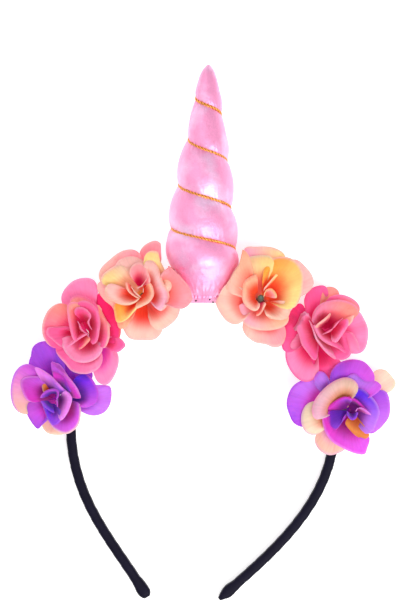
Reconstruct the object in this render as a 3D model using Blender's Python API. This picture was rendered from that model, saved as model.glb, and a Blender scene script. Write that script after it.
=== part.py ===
"""Unicorn horn headband, lying on its back.

+X is the wearer's left, +Y runs from the open ends of the band to the tip of the horn, and +Z is the side
that faces forwards when it is worn. Tables and named sizes are in millimetres, and the scene is in metres.
"""

import math
from collections import namedtuple

import bmesh
import bpy
from mathutils import Vector
from mathutils.geometry import interpolate_bezier

MM = 0.001

# The band: a plastic arch wound in ribbon, lying flat
BAND_THICKNESS = 4.2
BAND_DEPTH = 10.0
BAND_CHAMFER = 1.1
BAND_STEPS_PER_CURVE = 11
CIRCLE_HANDLE = 0.5523

# Left and right ends differ, because the sprung arch isn't quite symmetrical
BandArm = namedtuple("BandArm", "widest widest_handle tip tip_handle tip_angle")
BAND_CROWN = (1.9, 4.0)
LEFT_ARM = BandArm((-60.6, -57.5), 36.0, (-24.7, -138.6), 31.1, 121.2)
RIGHT_ARM = BandArm((63.0, -58.4), 36.9, (9.0, -139.6), 30.3, 41.9)

# Distance from the tip along the band, and how thick the band is there beside its usual thickness
LEFT_TIP_THICKNESS = ((0.0, 0.62), (1.0, 1.0), (3.0, 1.28), (6.0, 1.22), (10.0, 1.0))
RIGHT_TIP_THICKNESS = ((0.0, 0.35), (2.0, 0.75), (4.5, 1.15), (7.0, 1.2), (11.0, 1.0))
BAND_FRONT = BAND_DEPTH

# The horn: its foot stands on the band's crown, and its lower lip laps over the band's front
HORN_FOOT = (1.8, -0.7)
HORN_TIP = (3.9, 110.7)
HORN_HEIGHT = math.dist(HORN_FOOT, HORN_TIP)
HORN_AXIS_LEVEL = 17.4
HORN_COLUMNS = 20
HORN_FOOT_ROWS = (0.0, 1.6, 4.0, 7.0, 7.5, 9.8)
HORN_BODY_ROWS = 24
HORN_BODY_FROM = 12.5
HORN_BODY_TO = 106.0
HORN_TIP_ROWS = (108.8, 110.6)
HORN_LIP_TOP = 7.2
SEAT_GAP = 0.4

# Height above the horn's foot, and the radius of its puffs there
HORN_RADIUS = (
    (-4.0, 2.0),
    (0.0, 6.5),
    (3.0, 9.5),
    (7.0, 12.0),
    (12.0, 14.6),
    (18.0, 16.6),
    (24.0, 17.2),
    (35.0, 16.7),
    (40.0, 16.0),
    (52.0, 14.4),
    (60.0, 13.4),
    (72.0, 11.4),
    (80.0, 9.2),
    (96.0, 6.5),
    (105.0, 4.3),
    (109.0, 2.6),
    (111.4, 0.6),
)

# Height above the horn's foot, and how far the stuffing makes the horn bow to the left there
HORN_BOW = ((0.0, 0.0), (14.0, 0.5), (30.0, 1.3), (45.0, 1.35), (60.0, 0.9), (75.0, 0.4), (90.0, 0.0))

# Half turns of the cord, counted from its first crossing on the left, and the height of each
CORD_HEIGHTS = (
    (-0.6, 99.0),
    (0.0, 95.7),
    (1.0, 88.0),
    (2.0, 76.8),
    (3.0, 66.2),
    (4.0, 55.4),
    (5.0, 44.3),
    (6.0, 35.1),
    (7.0, 25.2),
    (8.0, 16.5),
    (8.1, 15.6),
)
GROOVE_DEPTH = 0.14
CORD_SINK = 0.45
GROOVE_FULLNESS = 0.6
GROOVE_FADE = 7.0
CORD_DIAMETER = 1.25
CORD_GAP = 0.5
CORD_POINTS_PER_HALF_TURN = 6

# The roses: each stands on the front of the band and leans outwards
Rose = namedtuple("Rose", "name face seat peg_height colour")
ROSES = (
    Rose("purple_rose_left", (-66.7, -42.5), (-60.5, -45.5), 9.2, (0.42, 0.10, 0.62)),
    Rose("pink_rose_left", (-54.5, -12.5), (-47.5, -19.5), 9.2, (0.95, 0.16, 0.42)),
    Rose("peach_rose_left", (-27.7, 6.3), (-24.5, -0.5), 9.2, (1.0, 0.45, 0.32)),
    Rose("peach_rose_right", (28.7, 3.5), (27.5, -2.5), 13.5, (1.0, 0.45, 0.32)),
    Rose("pink_rose_right", (59.2, -12.5), (51.5, -19.0), 9.2, (0.95, 0.16, 0.42)),
    Rose("purple_rose_right", (68.2, -51.5), (63.5, -51.0), 9.2, (0.42, 0.10, 0.62)),
)
FACE_HEIGHT = 18.0
ROSE_DROOP = 0.16
FLANGE_RADIUS = 5.2
FLANGE_THICKNESS = 0.9
PEG_RADIUS = 1.5
HUB_RADIUS = 3.1
HUB_THICKNESS = 1.1
HUB_CLEARANCE = 0.35
PETAL_ROOT = 2.4
PETAL_WALL = 1.0
ROUND_SIDES = 8

# Each layer: the level of its hub over the band's front, how the petals rise, and how they're divided
Layer = namedtuple("Layer", "level rise spare")
LAYERS = {
    "outer_petals": Layer(2.5, 1.6, 0.9),
    "middle_petals": Layer(4.2, 2.0, 2.4),
    "inner_petals": Layer(5.9, 2.4, 3.9),
    "bud": Layer(8.3, 1.5, 5.4),
}
SIDE_TRIM_DEGREES = 4.5
PETAL_STEP_DEGREES = 38
FEWEST_STEPS_ACROSS = 3
STEPS_OUTWARDS = 2
CORNER_ROUNDING = 0.26

# One row for each petal: the sector that it fills, seen from the front and counted from +X towards +Y, how
# far its rim lies from the middle of the rose at the start, middle and end of that sector, and how high
Petal = namedtuple("Petal", "layer start end reach_start reach_middle reach_end height")
PETALS = {
    "purple_rose_left": (
        Petal("outer_petals", 92, 148, 21, 25, 20, 7),
        Petal("outer_petals", 140, 222, 18, 22.5, 19, 9),
        Petal("outer_petals", 210, 254, 16, 19.5, 16, 9),
        Petal("outer_petals", 246, 290, 18, 20.5, 19, 8),
        Petal("outer_petals", 270, 332, 19, 21, 15, 10),
        Petal("outer_petals", 324, 370, 21, 26, 24, 7),
        Petal("outer_petals", 348, 400, 18, 19, 15, 9),
        Petal("middle_petals", 135, 205, 15, 17, 14, 14),
        Petal("middle_petals", 200, 268, 13, 15.5, 14, 15),
        Petal("middle_petals", 270, 345, 12.5, 12, 11.5, 13),
        Petal("middle_petals", 345, 468, 12.5, 10.3, 15, 17),
        Petal("inner_petals", -78, 130, 10.2, 6.4, 11.2, 19),
        Petal("inner_petals", 120, 200, 7, 8, 8, 15),
        Petal("bud", 180, 300, 3.5, 3.5, 3.5, 20),
        Petal("bud", 300, 400, 3.5, 3.5, 3.5, 18),
    ),
    "pink_rose_left": (
        Petal("outer_petals", 60, 140, 19, 23.5, 17, 8),
        Petal("outer_petals", 125, 200, 17, 19.5, 18, 10),
        Petal("outer_petals", 192, 298, 19, 21, 17.5, 12),
        Petal("outer_petals", 284, 336, 22, 28, 19, 9),
        Petal("outer_petals", 326, 352, 18, 21.5, 17, 10),
        Petal("outer_petals", 346, 410, 15, 15, 15, 10),
        Petal("middle_petals", 100, 200, 15, 15.5, 15, 14),
        Petal("middle_petals", 196, 326, 15.5, 16.5, 13.5, 15),
        Petal("middle_petals", 318, 418, 12.5, 12, 13.5, 16),
        Petal("middle_petals", 46, 116, 12, 13.5, 13, 15),
        Petal("inner_petals", -78, 82, 6.8, 6.8, 7, 19),
        Petal("inner_petals", 85, 235, 9, 7, 9.5, 19),
        Petal("inner_petals", 228, 300, 9.5, 10, 8, 18),
        Petal("bud", 20, 200, 3.5, 3.5, 3.5, 21),
        Petal("bud", 195, 385, 3.5, 3.5, 3.5, 20),
    ),
    "peach_rose_left": (
        Petal("outer_petals", 88, 158, 18, 19.5, 20.5, 10),
        Petal("outer_petals", 148, 206, 20.5, 21.3, 18, 10),
        Petal("outer_petals", 204, 252, 17, 18, 21, 11),
        Petal("outer_petals", 250, 296, 22, 24.6, 22.5, 8),
        Petal("outer_petals", 288, 334, 20.5, 21.7, 21, 10),
        Petal("outer_petals", -30, 44, 20, 25, 20, 18.5),
        Petal("outer_petals", 56, 93, 18.5, 23.2, 18.5, 10),
        Petal("middle_petals", 95, 168, 14, 16.5, 15.5, 15),
        Petal("middle_petals", 162, 246, 15.5, 15.5, 9, 16),
        Petal("middle_petals", 224, 306, 16.5, 16, 14, 13),
        Petal("middle_petals", -54, 60, 14.5, 12.2, 14.5, 18),
        Petal("inner_petals", -62, 84, 8, 6.8, 9, 20),
        Petal("inner_petals", 90, 205, 9, 7, 6.8, 18),
        Petal("inner_petals", 212, 300, 6.8, 6.8, 8, 19),
        Petal("bud", 10, 190, 3.5, 3.5, 3.5, 21),
        Petal("bud", 185, 370, 3.5, 3.5, 3.5, 20),
    ),
    "peach_rose_right": (
        Petal("outer_petals", 58, 124, 21.5, 22.6, 21.5, 10),
        Petal("outer_petals", 0, 62, 21.5, 24.5, 21.5, 11),
        Petal("outer_petals", 118, 166, 20.5, 19.5, 18, 13.5),
        Petal("outer_petals", 160, 215, 19.5, 23, 21.5, 18.5),
        Petal("outer_petals", 206, 242, 20.5, 20, 17, 11),
        Petal("outer_petals", 236, 298, 19.5, 23.5, 24, 9),
        Petal("outer_petals", 296, 366, 18.5, 18.5, 19.5, 9),
        Petal("middle_petals", 66, 140, 15, 15, 13, 14),
        Petal("middle_petals", -30, 63, 17.5, 18.5, 17, 16),
        Petal("middle_petals", 136, 216, 13, 12, 11.5, 15),
        Petal("middle_petals", 212, 288, 14, 16, 15, 14),
        Petal("middle_petals", 284, 334, 15, 17, 15, 14),
        Petal("inner_petals", 105, 258, 8.5, 9.3, 8, 16),
        Petal("inner_petals", -64, 46, 9, 7, 4.6, 15),
    ),
    "pink_rose_right": (
        Petal("outer_petals", 92, 136, 19, 20.5, 17, 9),
        Petal("outer_petals", 68, 98, 17, 19.3, 19.5, 9),
        Petal("outer_petals", 20, 75, 17, 19, 17.5, 10),
        Petal("outer_petals", -42, 22, 20, 20.3, 17.5, 9),
        Petal("outer_petals", 258, 322, 17, 16, 16, 9),
        Petal("outer_petals", 206, 262, 21.5, 26.5, 21, 8),
        Petal("outer_petals", 184, 216, 18, 23, 21, 7),
        Petal("outer_petals", 136, 192, 16, 18, 17, 9),
        Petal("middle_petals", 138, 252, 15.5, 14, 15.5, 15),
        Petal("middle_petals", 252, 320, 13.5, 13, 13, 13),
        Petal("middle_petals", -50, 36, 13, 13, 12, 14),
        Petal("middle_petals", 36, 136, 11.5, 13, 13, 15),
        Petal("inner_petals", 150, 284, 9.2, 8.3, 12, 18),
        Petal("inner_petals", 76, 180, 8, 6.6, 6.6, 20),
        Petal("inner_petals", -66, 68, 8.5, 9, 7.5, 18),
        Petal("bud", -10, 170, 3.5, 3.5, 3.5, 20),
        Petal("bud", 165, 350, 3.5, 3.5, 3.5, 19),
    ),
    "purple_rose_right": (
        Petal("outer_petals", 57, 108, 22, 25, 21, 14),
        Petal("outer_petals", 104, 146, 21, 22.5, 22, 12),
        Petal("outer_petals", 28, 62, 17, 21, 21, 12),
        Petal("outer_petals", 22, 56, 22, 27, 24, 6),
        Petal("outer_petals", -42, 28, 19, 20.5, 20, 8),
        Petal("outer_petals", 268, 320, 18.5, 21, 18.5, 9),
        Petal("outer_petals", 216, 270, 19.5, 22, 18.5, 8),
        Petal("outer_petals", 176, 218, 20, 22.3, 20, 11),
        Petal("outer_petals", 140, 202, 24, 27.7, 23, 7),
        Petal("middle_petals", 62, 202, 13.5, 15.7, 14.5, 17),
        Petal("middle_petals", -28, 60, 14, 13.5, 13, 14),
        Petal("middle_petals", 196, 334, 12.5, 17, 14, 15),
        Petal("inner_petals", 64, 192, 9.2, 8, 9.2, 14),
        Petal("inner_petals", -66, 60, 9, 9, 9, 15),
        Petal("inner_petals", 288, 328, 10.5, 12, 11, 14),
        Petal("inner_petals", 190, 276, 8, 9.5, 7, 14),
        Petal("bud", -80, 100, 3.5, 3.5, 3.5, 15),
        Petal("bud", 95, 285, 3.5, 3.5, 3.5, 14),
    ),
}

# Where roses meet, the petals of the lower one pass under the outer petals of the upper one
UPPER_ROSES = {
    "purple_rose_left": ("pink_rose_left",),
    "pink_rose_left": ("peach_rose_left",),
    "pink_rose_right": ("peach_rose_right", "purple_rose_right"),
}
UPPER_REACH = 20.5
UPPER_RISE = 8.0
HORN_SPARE = 0.8


def smooth(rows, place):
    """The value at place of a smooth curve through rows of (place, value)."""
    if place <= rows[0][0]:
        return rows[0][1]
    if place >= rows[-1][0]:
        return rows[-1][1]
    i = max(k for k in range(len(rows) - 1) if rows[k][0] <= place)

    def slope(k):
        low = max(k - 1, 0)
        high = min(k + 1, len(rows) - 1)
        return (rows[high][1] - rows[low][1]) / (rows[high][0] - rows[low][0])

    (x0, y0), (x1, y1) = rows[i], rows[i + 1]
    span = x1 - x0
    t = (place - x0) / span
    return (
        (2 * t**3 - 3 * t**2 + 1) * y0
        + (t**3 - 2 * t**2 + t) * span * slope(i)
        + (3 * t**2 - 2 * t**3) * y1
        + (t**3 - t**2) * span * slope(i + 1)
    )


def clear_scene():
    for obj in list(bpy.data.objects):
        bpy.data.objects.remove(obj, do_unlink=True)


def material(name, colour, roughness, metallic=0.0):
    made = bpy.data.materials.get(name)
    if made is None:
        made = bpy.data.materials.new(name)
        made.use_nodes = True
        shader = made.node_tree.nodes["Principled BSDF"]
        shader.inputs["Base Color"].default_value = (*colour, 1.0)
        shader.inputs["Roughness"].default_value = roughness
        shader.inputs["Metallic"].default_value = metallic
    return made


def add_object(name, mesh, finish, parent):
    obj = bpy.data.objects.new(name, mesh)
    bpy.context.scene.collection.objects.link(obj)
    obj.data.materials.append(finish)
    obj.parent = parent
    return obj


def mesh_from(bm, name):
    """A mesh of this bmesh, with its sizes turned from millimetres into metres."""
    bmesh.ops.scale(bm, vec=(MM, MM, MM), verts=bm.verts)
    bmesh.ops.recalc_face_normals(bm, faces=bm.faces)
    mesh = bpy.data.meshes.new(name)
    bm.to_mesh(mesh)
    bm.free()
    mesh.shade_smooth()
    mesh.set_sharp_from_angle(angle=math.radians(40))
    return mesh


def extruded_face(bm, face, corners, leaves_inner_face):
    """Extrudes the face to these corners, and drops the old face where it would be left inside."""
    extruded = bmesh.ops.extrude_face_region(bm, geom=[face])
    if leaves_inner_face:
        bm.faces.remove(face)
    new_face = next(item for item in extruded["geom"] if isinstance(item, bmesh.types.BMFace))
    for vert, corner in zip(new_face.verts, corners):
        vert.co = corner
    return new_face


def arm_curve(arm):
    """The control points of the two curves from the crown to an arm's widest point and on to its tip."""
    crown = Vector(BAND_CROWN)
    widest = Vector(arm.widest)
    tip = Vector(arm.tip)
    angle = math.radians(arm.tip_angle)
    along_crown = Vector(((widest.x - crown.x) * CIRCLE_HANDLE, 0))
    up_to_crown = Vector((0, (crown.y - widest.y) * CIRCLE_HANDLE))
    upper = (crown, crown + along_crown, widest + up_to_crown, widest)
    down = Vector((0, -arm.widest_handle))
    from_tip = Vector((math.cos(angle), math.sin(angle))) * arm.tip_handle
    lower = (widest, widest + down, tip + from_tip, tip)
    return upper, lower


def arm_path(arm):
    upper, lower = arm_curve(arm)
    points = interpolate_bezier(*upper, BAND_STEPS_PER_CURVE)
    return points + interpolate_bezier(*lower, BAND_STEPS_PER_CURVE)[1:]


def tip_distances(path):
    """How far along the path each point lies from its last point."""
    distances = [0.0]
    for after, before in zip(path[::-1], path[-2::-1]):
        distances.append(distances[-1] + (after - before).length)
    return distances[::-1]


def band_section(centre, across, thickness):
    """The eight corners of a chamfered section of the band."""
    half = thickness / 2
    chamfer = min(BAND_CHAMFER, half * 0.55)
    rows = (
        (half, chamfer),
        (half, BAND_DEPTH - chamfer),
        (half - chamfer, BAND_DEPTH),
        (chamfer - half, BAND_DEPTH),
        (-half, BAND_DEPTH - chamfer),
        (-half, chamfer),
        (chamfer - half, 0.0),
        (half - chamfer, 0.0),
    )
    return [(centre.x + across.x * side, centre.y + across.y * side, level) for side, level in rows]


def make_band(finish, parent):
    left = arm_path(LEFT_ARM)
    right = arm_path(RIGHT_ARM)
    thickness = [BAND_THICKNESS * smooth(LEFT_TIP_THICKNESS, d) for d in tip_distances(left)][::-1]
    thickness += [BAND_THICKNESS * smooth(RIGHT_TIP_THICKNESS, d) for d in tip_distances(right)][1:]
    path = left[::-1] + right[1:]
    bm = bmesh.new()
    last = len(path) - 1
    for i, centre in enumerate(path):
        along = path[min(i + 1, last)] - path[max(i - 1, 0)]
        across = Vector((-along.y, along.x)).normalized()
        section = band_section(centre, across, thickness[i])
        if i == 0:
            face = bm.faces.new([bm.verts.new(corner) for corner in section])
        else:
            face = extruded_face(bm, face, section, leaves_inner_face=i > 1)
    return add_object("wrapped_band", mesh_from(bm, "wrapped_band"), finish, parent)


def horn_axis(height):
    """The point of the horn's axis at this height above its foot."""
    share = height / HORN_HEIGHT
    x = HORN_FOOT[0] + (HORN_TIP[0] - HORN_FOOT[0]) * share - smooth(HORN_BOW, height)
    y = HORN_FOOT[1] + (HORN_TIP[1] - HORN_FOOT[1]) * share
    return Vector((x, y, HORN_AXIS_LEVEL))


def cord_half_turns(height):
    """How many half turns the cord has made where it comes down to this height."""
    return smooth([(level, turns) for turns, level in reversed(CORD_HEIGHTS)], height)


def groove(height, angle):
    """From 0 on the fullest line of a puff to 1 in the cord's groove, at an angle from the left side."""
    phase = (cord_half_turns(height) - angle / math.pi) / 2
    fullness = abs(math.sin(math.pi * phase)) ** GROOVE_FULLNESS
    below_start = (CORD_HEIGHTS[0][1] + GROOVE_FADE - height) / GROOVE_FADE
    above_end = (height - CORD_HEIGHTS[-1][1] + GROOVE_FADE) / GROOVE_FADE
    fade = max(0.0, min(1.0, below_start, above_end))
    return (1 - fullness) * fade


def around_horn(height, angle, radius):
    """The point at this angle round the horn, from its left side over its front."""
    side = Vector((-math.cos(angle), 0, math.sin(angle)))
    return horn_axis(height) + side * radius


def horn_point(height, angle):
    radius = smooth(HORN_RADIUS, height) * (1 - GROOVE_DEPTH * groove(height, angle))
    point = around_horn(height, angle, radius)
    if height < HORN_LIP_TOP:
        point.z = max(point.z, BAND_FRONT + SEAT_GAP)
    return point


def make_horn(finish, parent):
    step = (HORN_BODY_TO - HORN_BODY_FROM) / (HORN_BODY_ROWS - 1)
    body = tuple(HORN_BODY_FROM + step * i for i in range(HORN_BODY_ROWS))
    rows = HORN_FOOT_ROWS + body + HORN_TIP_ROWS
    bm = bmesh.new()
    bmesh.ops.create_uvsphere(bm, u_segments=HORN_COLUMNS, v_segments=len(rows) + 1, radius=1)
    for vert in bm.verts:
        row = round(math.acos(max(-1, min(1, -vert.co.z))) / math.pi * (len(rows) + 1))
        if row == 0:
            vert.co = horn_axis(rows[0]) + Vector((0, 0, 1))
        elif row > len(rows):
            vert.co = horn_axis(HORN_HEIGHT)
        else:
            vert.co = horn_point(rows[row - 1], math.atan2(vert.co.y, vert.co.x))
    return add_object("horn", mesh_from(bm, "horn"), finish, parent)


def make_spiral_cord(finish, parent):
    first = CORD_HEIGHTS[0][0]
    last = CORD_HEIGHTS[-1][0]
    count = round((last - first) * CORD_POINTS_PER_HALF_TURN) + 1
    curve = bpy.data.curves.new("spiral_cord", "CURVE")
    curve.dimensions = "3D"
    curve.bevel_depth = CORD_DIAMETER / 2 * MM
    curve.bevel_resolution = 1
    curve.use_fill_caps = True
    spline = curve.splines.new("POLY")
    spline.points.add(count - 1)
    for i in range(count):
        turns = first + (last - first) * i / (count - 1)
        height = smooth(CORD_HEIGHTS, turns)
        radius = smooth(HORN_RADIUS, height) * (1 - CORD_SINK * GROOVE_DEPTH) + CORD_GAP + CORD_DIAMETER / 2
        point = around_horn(height, math.pi * turns, radius)
        spline.points[i].co = (*(point * MM), 1.0)
    return add_object("spiral_cord", curve, finish, parent)


def out_of_horn(point, spare):
    """The point, moved out of the horn to this distance from it where it lies nearer."""
    height = point.y - HORN_FOOT[1]
    if not HORN_RADIUS[0][0] < height < HORN_RADIUS[-1][0]:
        return point
    axis = horn_axis(height)
    side = Vector((point.x - axis.x, 0, point.z - axis.z))
    least = smooth(HORN_RADIUS, height) + CORD_DIAMETER + spare
    if side.length >= least:
        return point
    return Vector((axis.x, point.y, axis.z)) + side.normalized() * least


def lean_of(rose):
    """How far the rose leans outwards for each millimetre of height, and the way it leans."""
    offset = Vector(rose.face) - Vector(rose.seat)
    return offset / FACE_HEIGHT, offset.normalized()


def rose_to_part(rose, flat, height):
    """A point of the rose's own upright shape, sheared the way that the rose leans."""
    lean, outwards = lean_of(rose)
    plan = Vector(rose.seat) + lean * height + flat
    return Vector((plan.x, plan.y, BAND_FRONT + height - ROSE_DROOP * flat.dot(outwards)))


def part_to_rose(rose, point):
    """The plan and the height, in the rose's own upright shape, of a point of the part."""
    lean, outwards = lean_of(rose)
    offset = point.xy - Vector(rose.seat)
    height = point.z - BAND_FRONT + ROSE_DROOP * offset.dot(outwards)
    height /= 1 + ROSE_DROOP * lean.length
    return offset - lean * height, height


def under_roses(point, rose, spare):
    """The point, moved under the outer petals of each rose that lies over this one."""
    for name in UPPER_ROSES.get(rose.name, ()):
        upper = next(other for other in ROSES if other.name == name)
        flat, height = part_to_rose(upper, point)
        share = (flat.length - PETAL_ROOT) / (UPPER_REACH - PETAL_ROOT)
        if not 0 < share < 1.05:
            continue
        layer = LAYERS["outer_petals"]
        ceiling = layer.level + UPPER_RISE * share**layer.rise - PETAL_WALL - spare
        if height > ceiling:
            point = rose_to_part(upper, flat, ceiling)
    return point


def petal_point(rose, petal, across, outwards):
    """A point of the petal's middle surface: across runs from -1 to 1, outwards from 0 to 1."""
    layer = LAYERS[petal.layer]
    middle = math.radians(petal.start + petal.end) / 2
    half = math.radians((petal.end - petal.start) / 2 - SIDE_TRIM_DEGREES)
    angle = middle + half * across
    reach = (
        petal.reach_middle * (1 - across**2)
        + petal.reach_start * across * (across - 1) / 2
        + petal.reach_end * across * (across + 1) / 2
    )
    outwards *= 1 - CORNER_ROUNDING * across**6
    lean = lean_of(rose)[0]
    facing = Vector((math.cos(angle), math.sin(angle)))
    rim = Vector(rose.face) + facing * reach - Vector(rose.seat) - lean * petal.height
    flat = rim.normalized() * (PETAL_ROOT + (rim.length - PETAL_ROOT) * outwards)
    height = layer.level + (petal.height - layer.level) * outwards**layer.rise
    point = rose_to_part(rose, flat, height)
    if outwards > 0:
        point = under_roses(point, rose, layer.spare)
        point = out_of_horn(point, layer.spare + HORN_SPARE)
    return point


def make_petal(rose, petal):
    across = max(FEWEST_STEPS_ACROSS, round((petal.end - petal.start) / PETAL_STEP_DEGREES))
    bm = bmesh.new()
    bmesh.ops.create_grid(bm, x_segments=across, y_segments=STEPS_OUTWARDS, size=1)
    for vert in bm.verts:
        vert.co = petal_point(rose, petal, vert.co.x, (vert.co.y + 1) / 2)
    bm.normal_update()
    for vert, normal in [(vert, vert.normal.copy()) for vert in bm.verts]:
        vert.co += normal * PETAL_WALL / 2
    bmesh.ops.solidify(bm, geom=bm.faces[:], thickness=PETAL_WALL)
    return mesh_from(bm, "petal")


def make_ring(rose, level, thickness, outer, inner):
    """A flat ring about the rose's leaning axis."""
    bm = bmesh.new()
    for radius in (outer, inner):
        bmesh.ops.create_circle(bm, segments=ROUND_SIDES, radius=radius)
    bmesh.ops.bridge_loops(bm, edges=bm.edges)
    for vert in bm.verts:
        vert.co = rose_to_part(rose, vert.co.xy, level)
    extruded = bmesh.ops.extrude_face_region(bm, geom=bm.faces[:])
    along = (lean_of(rose)[0] * thickness).to_3d() + Vector((0, 0, thickness))
    for item in extruded["geom"]:
        if isinstance(item, bmesh.types.BMVert):
            item.co += along
    return mesh_from(bm, "ring")


def make_core(rose, parent, finish):
    """The peg that the layers are threaded on, with the flange that is glued to the band."""
    top = rose.peg_height
    sections = (
        (SEAT_GAP, FLANGE_RADIUS),
        (SEAT_GAP + FLANGE_THICKNESS * 0.4, FLANGE_RADIUS),
        (SEAT_GAP + FLANGE_THICKNESS, PEG_RADIUS),
        (top - PEG_RADIUS / 2, PEG_RADIUS),
        (top, PEG_RADIUS / 2),
    )
    bm = bmesh.new()
    bmesh.ops.create_circle(bm, segments=ROUND_SIDES, radius=1, cap_ends=True)
    face = bm.faces[:][0]
    unit = [vert.co.xy.copy() for vert in face.verts]
    lean = lean_of(rose)[0]
    for i, (height, radius) in enumerate(sections):
        plans = [Vector(rose.seat) + lean * height + way * radius for way in unit]
        corners = [(plan.x, plan.y, BAND_FRONT + height) for plan in plans]
        if i == 0:
            for vert, corner in zip(face.verts, corners):
                vert.co = corner
        else:
            face = extruded_face(bm, face, corners, leaves_inner_face=i > 1)
    return add_object(f"{rose.name}_core", mesh_from(bm, "core"), finish, parent)


def fused(hub, petals):
    """The hub's mesh with the petals' meshes joined to it by a Boolean union."""
    helpers = bpy.data.collections.new("petal helpers")
    bpy.context.scene.collection.children.link(helpers)
    for mesh in petals:
        helpers.objects.link(bpy.data.objects.new("petal", mesh))
    base = bpy.data.objects.new("hub", hub)
    bpy.context.scene.collection.objects.link(base)
    union = base.modifiers.new("petals", "BOOLEAN")
    union.operation = "UNION"
    union.solver = "EXACT"
    union.operand_type = "COLLECTION"
    union.collection = helpers
    graph = bpy.context.evaluated_depsgraph_get()
    mesh = bpy.data.meshes.new_from_object(base.evaluated_get(graph))
    for helper in (*helpers.objects, base):
        bpy.data.objects.remove(helper, do_unlink=True)
    bpy.data.collections.remove(helpers)
    return mesh


def make_layer(rose, layer_name, parent, finish):
    layer = LAYERS[layer_name]
    rows = [petal for petal in PETALS[rose.name] if petal.layer == layer_name]
    if not rows:
        return
    level = layer.level - HUB_THICKNESS / 2
    hub = make_ring(rose, level, HUB_THICKNESS, HUB_RADIUS, PEG_RADIUS + HUB_CLEARANCE)
    mesh = fused(hub, [make_petal(rose, petal) for petal in rows])
    mesh.materials.clear()
    add_object(f"{rose.name}_{layer_name}", mesh, finish, parent)


def make_rose(rose, parent):
    peg = material("green plastic", (0.12, 0.17, 0.10), 0.55)
    fabric = material(f"{rose.name} fabric", rose.colour, 0.8)
    make_core(rose, parent, peg)
    for layer_name in LAYERS:
        make_layer(rose, layer_name, parent, fabric)


def shift_to_origin(parent):
    """Moves everything so that the origin is under the middle of the whole, on the surface it lies on."""
    bpy.context.view_layer.update()
    graph = bpy.context.evaluated_depsgraph_get()
    corners = []
    for obj in parent.children:
        mesh = obj.evaluated_get(graph).to_mesh()
        corners += [obj.matrix_world @ vert.co for vert in mesh.vertices]
    low = [min(corner[i] for corner in corners) for i in range(3)]
    high = [max(corner[i] for corner in corners) for i in range(3)]
    parent.location = (-(low[0] + high[0]) / 2, -(low[1] + high[1]) / 2, -low[2])


def main():
    clear_scene()
    bpy.context.scene.unit_settings.scale_length = 1.0
    whole = bpy.data.objects.new("headband", None)
    bpy.context.scene.collection.objects.link(whole)
    make_band(material("black satin ribbon", (0.012, 0.01, 0.025), 0.45), whole)
    make_horn(material("metallic pink fabric", (0.95, 0.42, 0.68), 0.35, 0.4), whole)
    make_spiral_cord(material("gold cord", (0.62, 0.30, 0.10), 0.4, 0.7), whole)
    for rose in ROSES:
        make_rose(rose, whole)
    shift_to_origin(whole)


main()
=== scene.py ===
"""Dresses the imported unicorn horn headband: its wound ribbon, horn, cord, stitches, fabric roses and stage.

Tables and named sizes are in millimetres and in the same model frame as the part's source, whose origin is in
the middle of the photograph. Finished meshes are in metres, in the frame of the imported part.
"""

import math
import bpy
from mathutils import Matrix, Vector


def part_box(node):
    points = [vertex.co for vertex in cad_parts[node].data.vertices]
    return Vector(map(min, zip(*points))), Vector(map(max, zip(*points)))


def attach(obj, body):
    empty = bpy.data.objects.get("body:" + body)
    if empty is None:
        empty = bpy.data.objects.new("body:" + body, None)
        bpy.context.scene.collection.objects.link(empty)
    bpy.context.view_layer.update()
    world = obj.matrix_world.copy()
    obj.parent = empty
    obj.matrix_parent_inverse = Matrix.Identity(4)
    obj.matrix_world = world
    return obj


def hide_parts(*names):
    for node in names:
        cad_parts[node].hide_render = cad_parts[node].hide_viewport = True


bl_info = {
    "name": "Unicorn Horn Headband",
    "version": (1, 0, 0),
    "blender": (4, 5, 0),
    "location": "View3D > Sidebar > Headband",
    "description": "Builds the ribbon, horn, cord, stitches and fabric roses of a costume headband",
    "category": "Object",
}

from collections import namedtuple

import bmesh
import bpy
from bpy.props import FloatProperty, FloatVectorProperty, IntProperty, PointerProperty
from mathutils import Vector, noise
from mathutils.geometry import interpolate_bezier

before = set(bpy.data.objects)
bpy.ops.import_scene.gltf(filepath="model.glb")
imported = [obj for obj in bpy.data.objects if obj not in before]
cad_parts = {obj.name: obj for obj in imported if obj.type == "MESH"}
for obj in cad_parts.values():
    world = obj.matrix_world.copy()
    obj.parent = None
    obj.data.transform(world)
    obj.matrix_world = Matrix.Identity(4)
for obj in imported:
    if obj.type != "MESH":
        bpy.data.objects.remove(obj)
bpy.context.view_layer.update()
MM = 0.001

# The band's centre line, as in the part's source
BAND_THICKNESS = 4.2
BAND_DEPTH = 10.0
CIRCLE_HANDLE = 0.5523
BandArm = namedtuple("BandArm", "widest widest_handle tip tip_handle tip_angle")
BAND_CROWN = (1.9, 4.0)
LEFT_ARM = BandArm((-60.6, -57.5), 36.0, (-24.7, -138.6), 31.1, 121.2)
RIGHT_ARM = BandArm((63.0, -58.4), 36.9, (9.0, -139.6), 30.3, 41.9)
LEFT_TIP_THICKNESS = ((0.0, 0.62), (1.0, 1.0), (3.0, 1.28), (6.0, 1.22), (10.0, 1.0))
RIGHT_TIP_THICKNESS = ((0.0, 0.35), (2.0, 0.75), (4.5, 1.15), (7.0, 1.2), (11.0, 1.0))
BAND_ROWS = 520
BAND_COLUMNS = 32
BAND_SQUARENESS = 5.0
RIBBON_THICKNESS = 0.25
BAND_TIP_ROUNDING = 1.6
BAND_TIP_DEPTH = 0.7
ARM_POINTS = 200

# How steeply each turn of the ribbon ends where it lies over the turn before it
LAP_EDGE = 9

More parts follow.
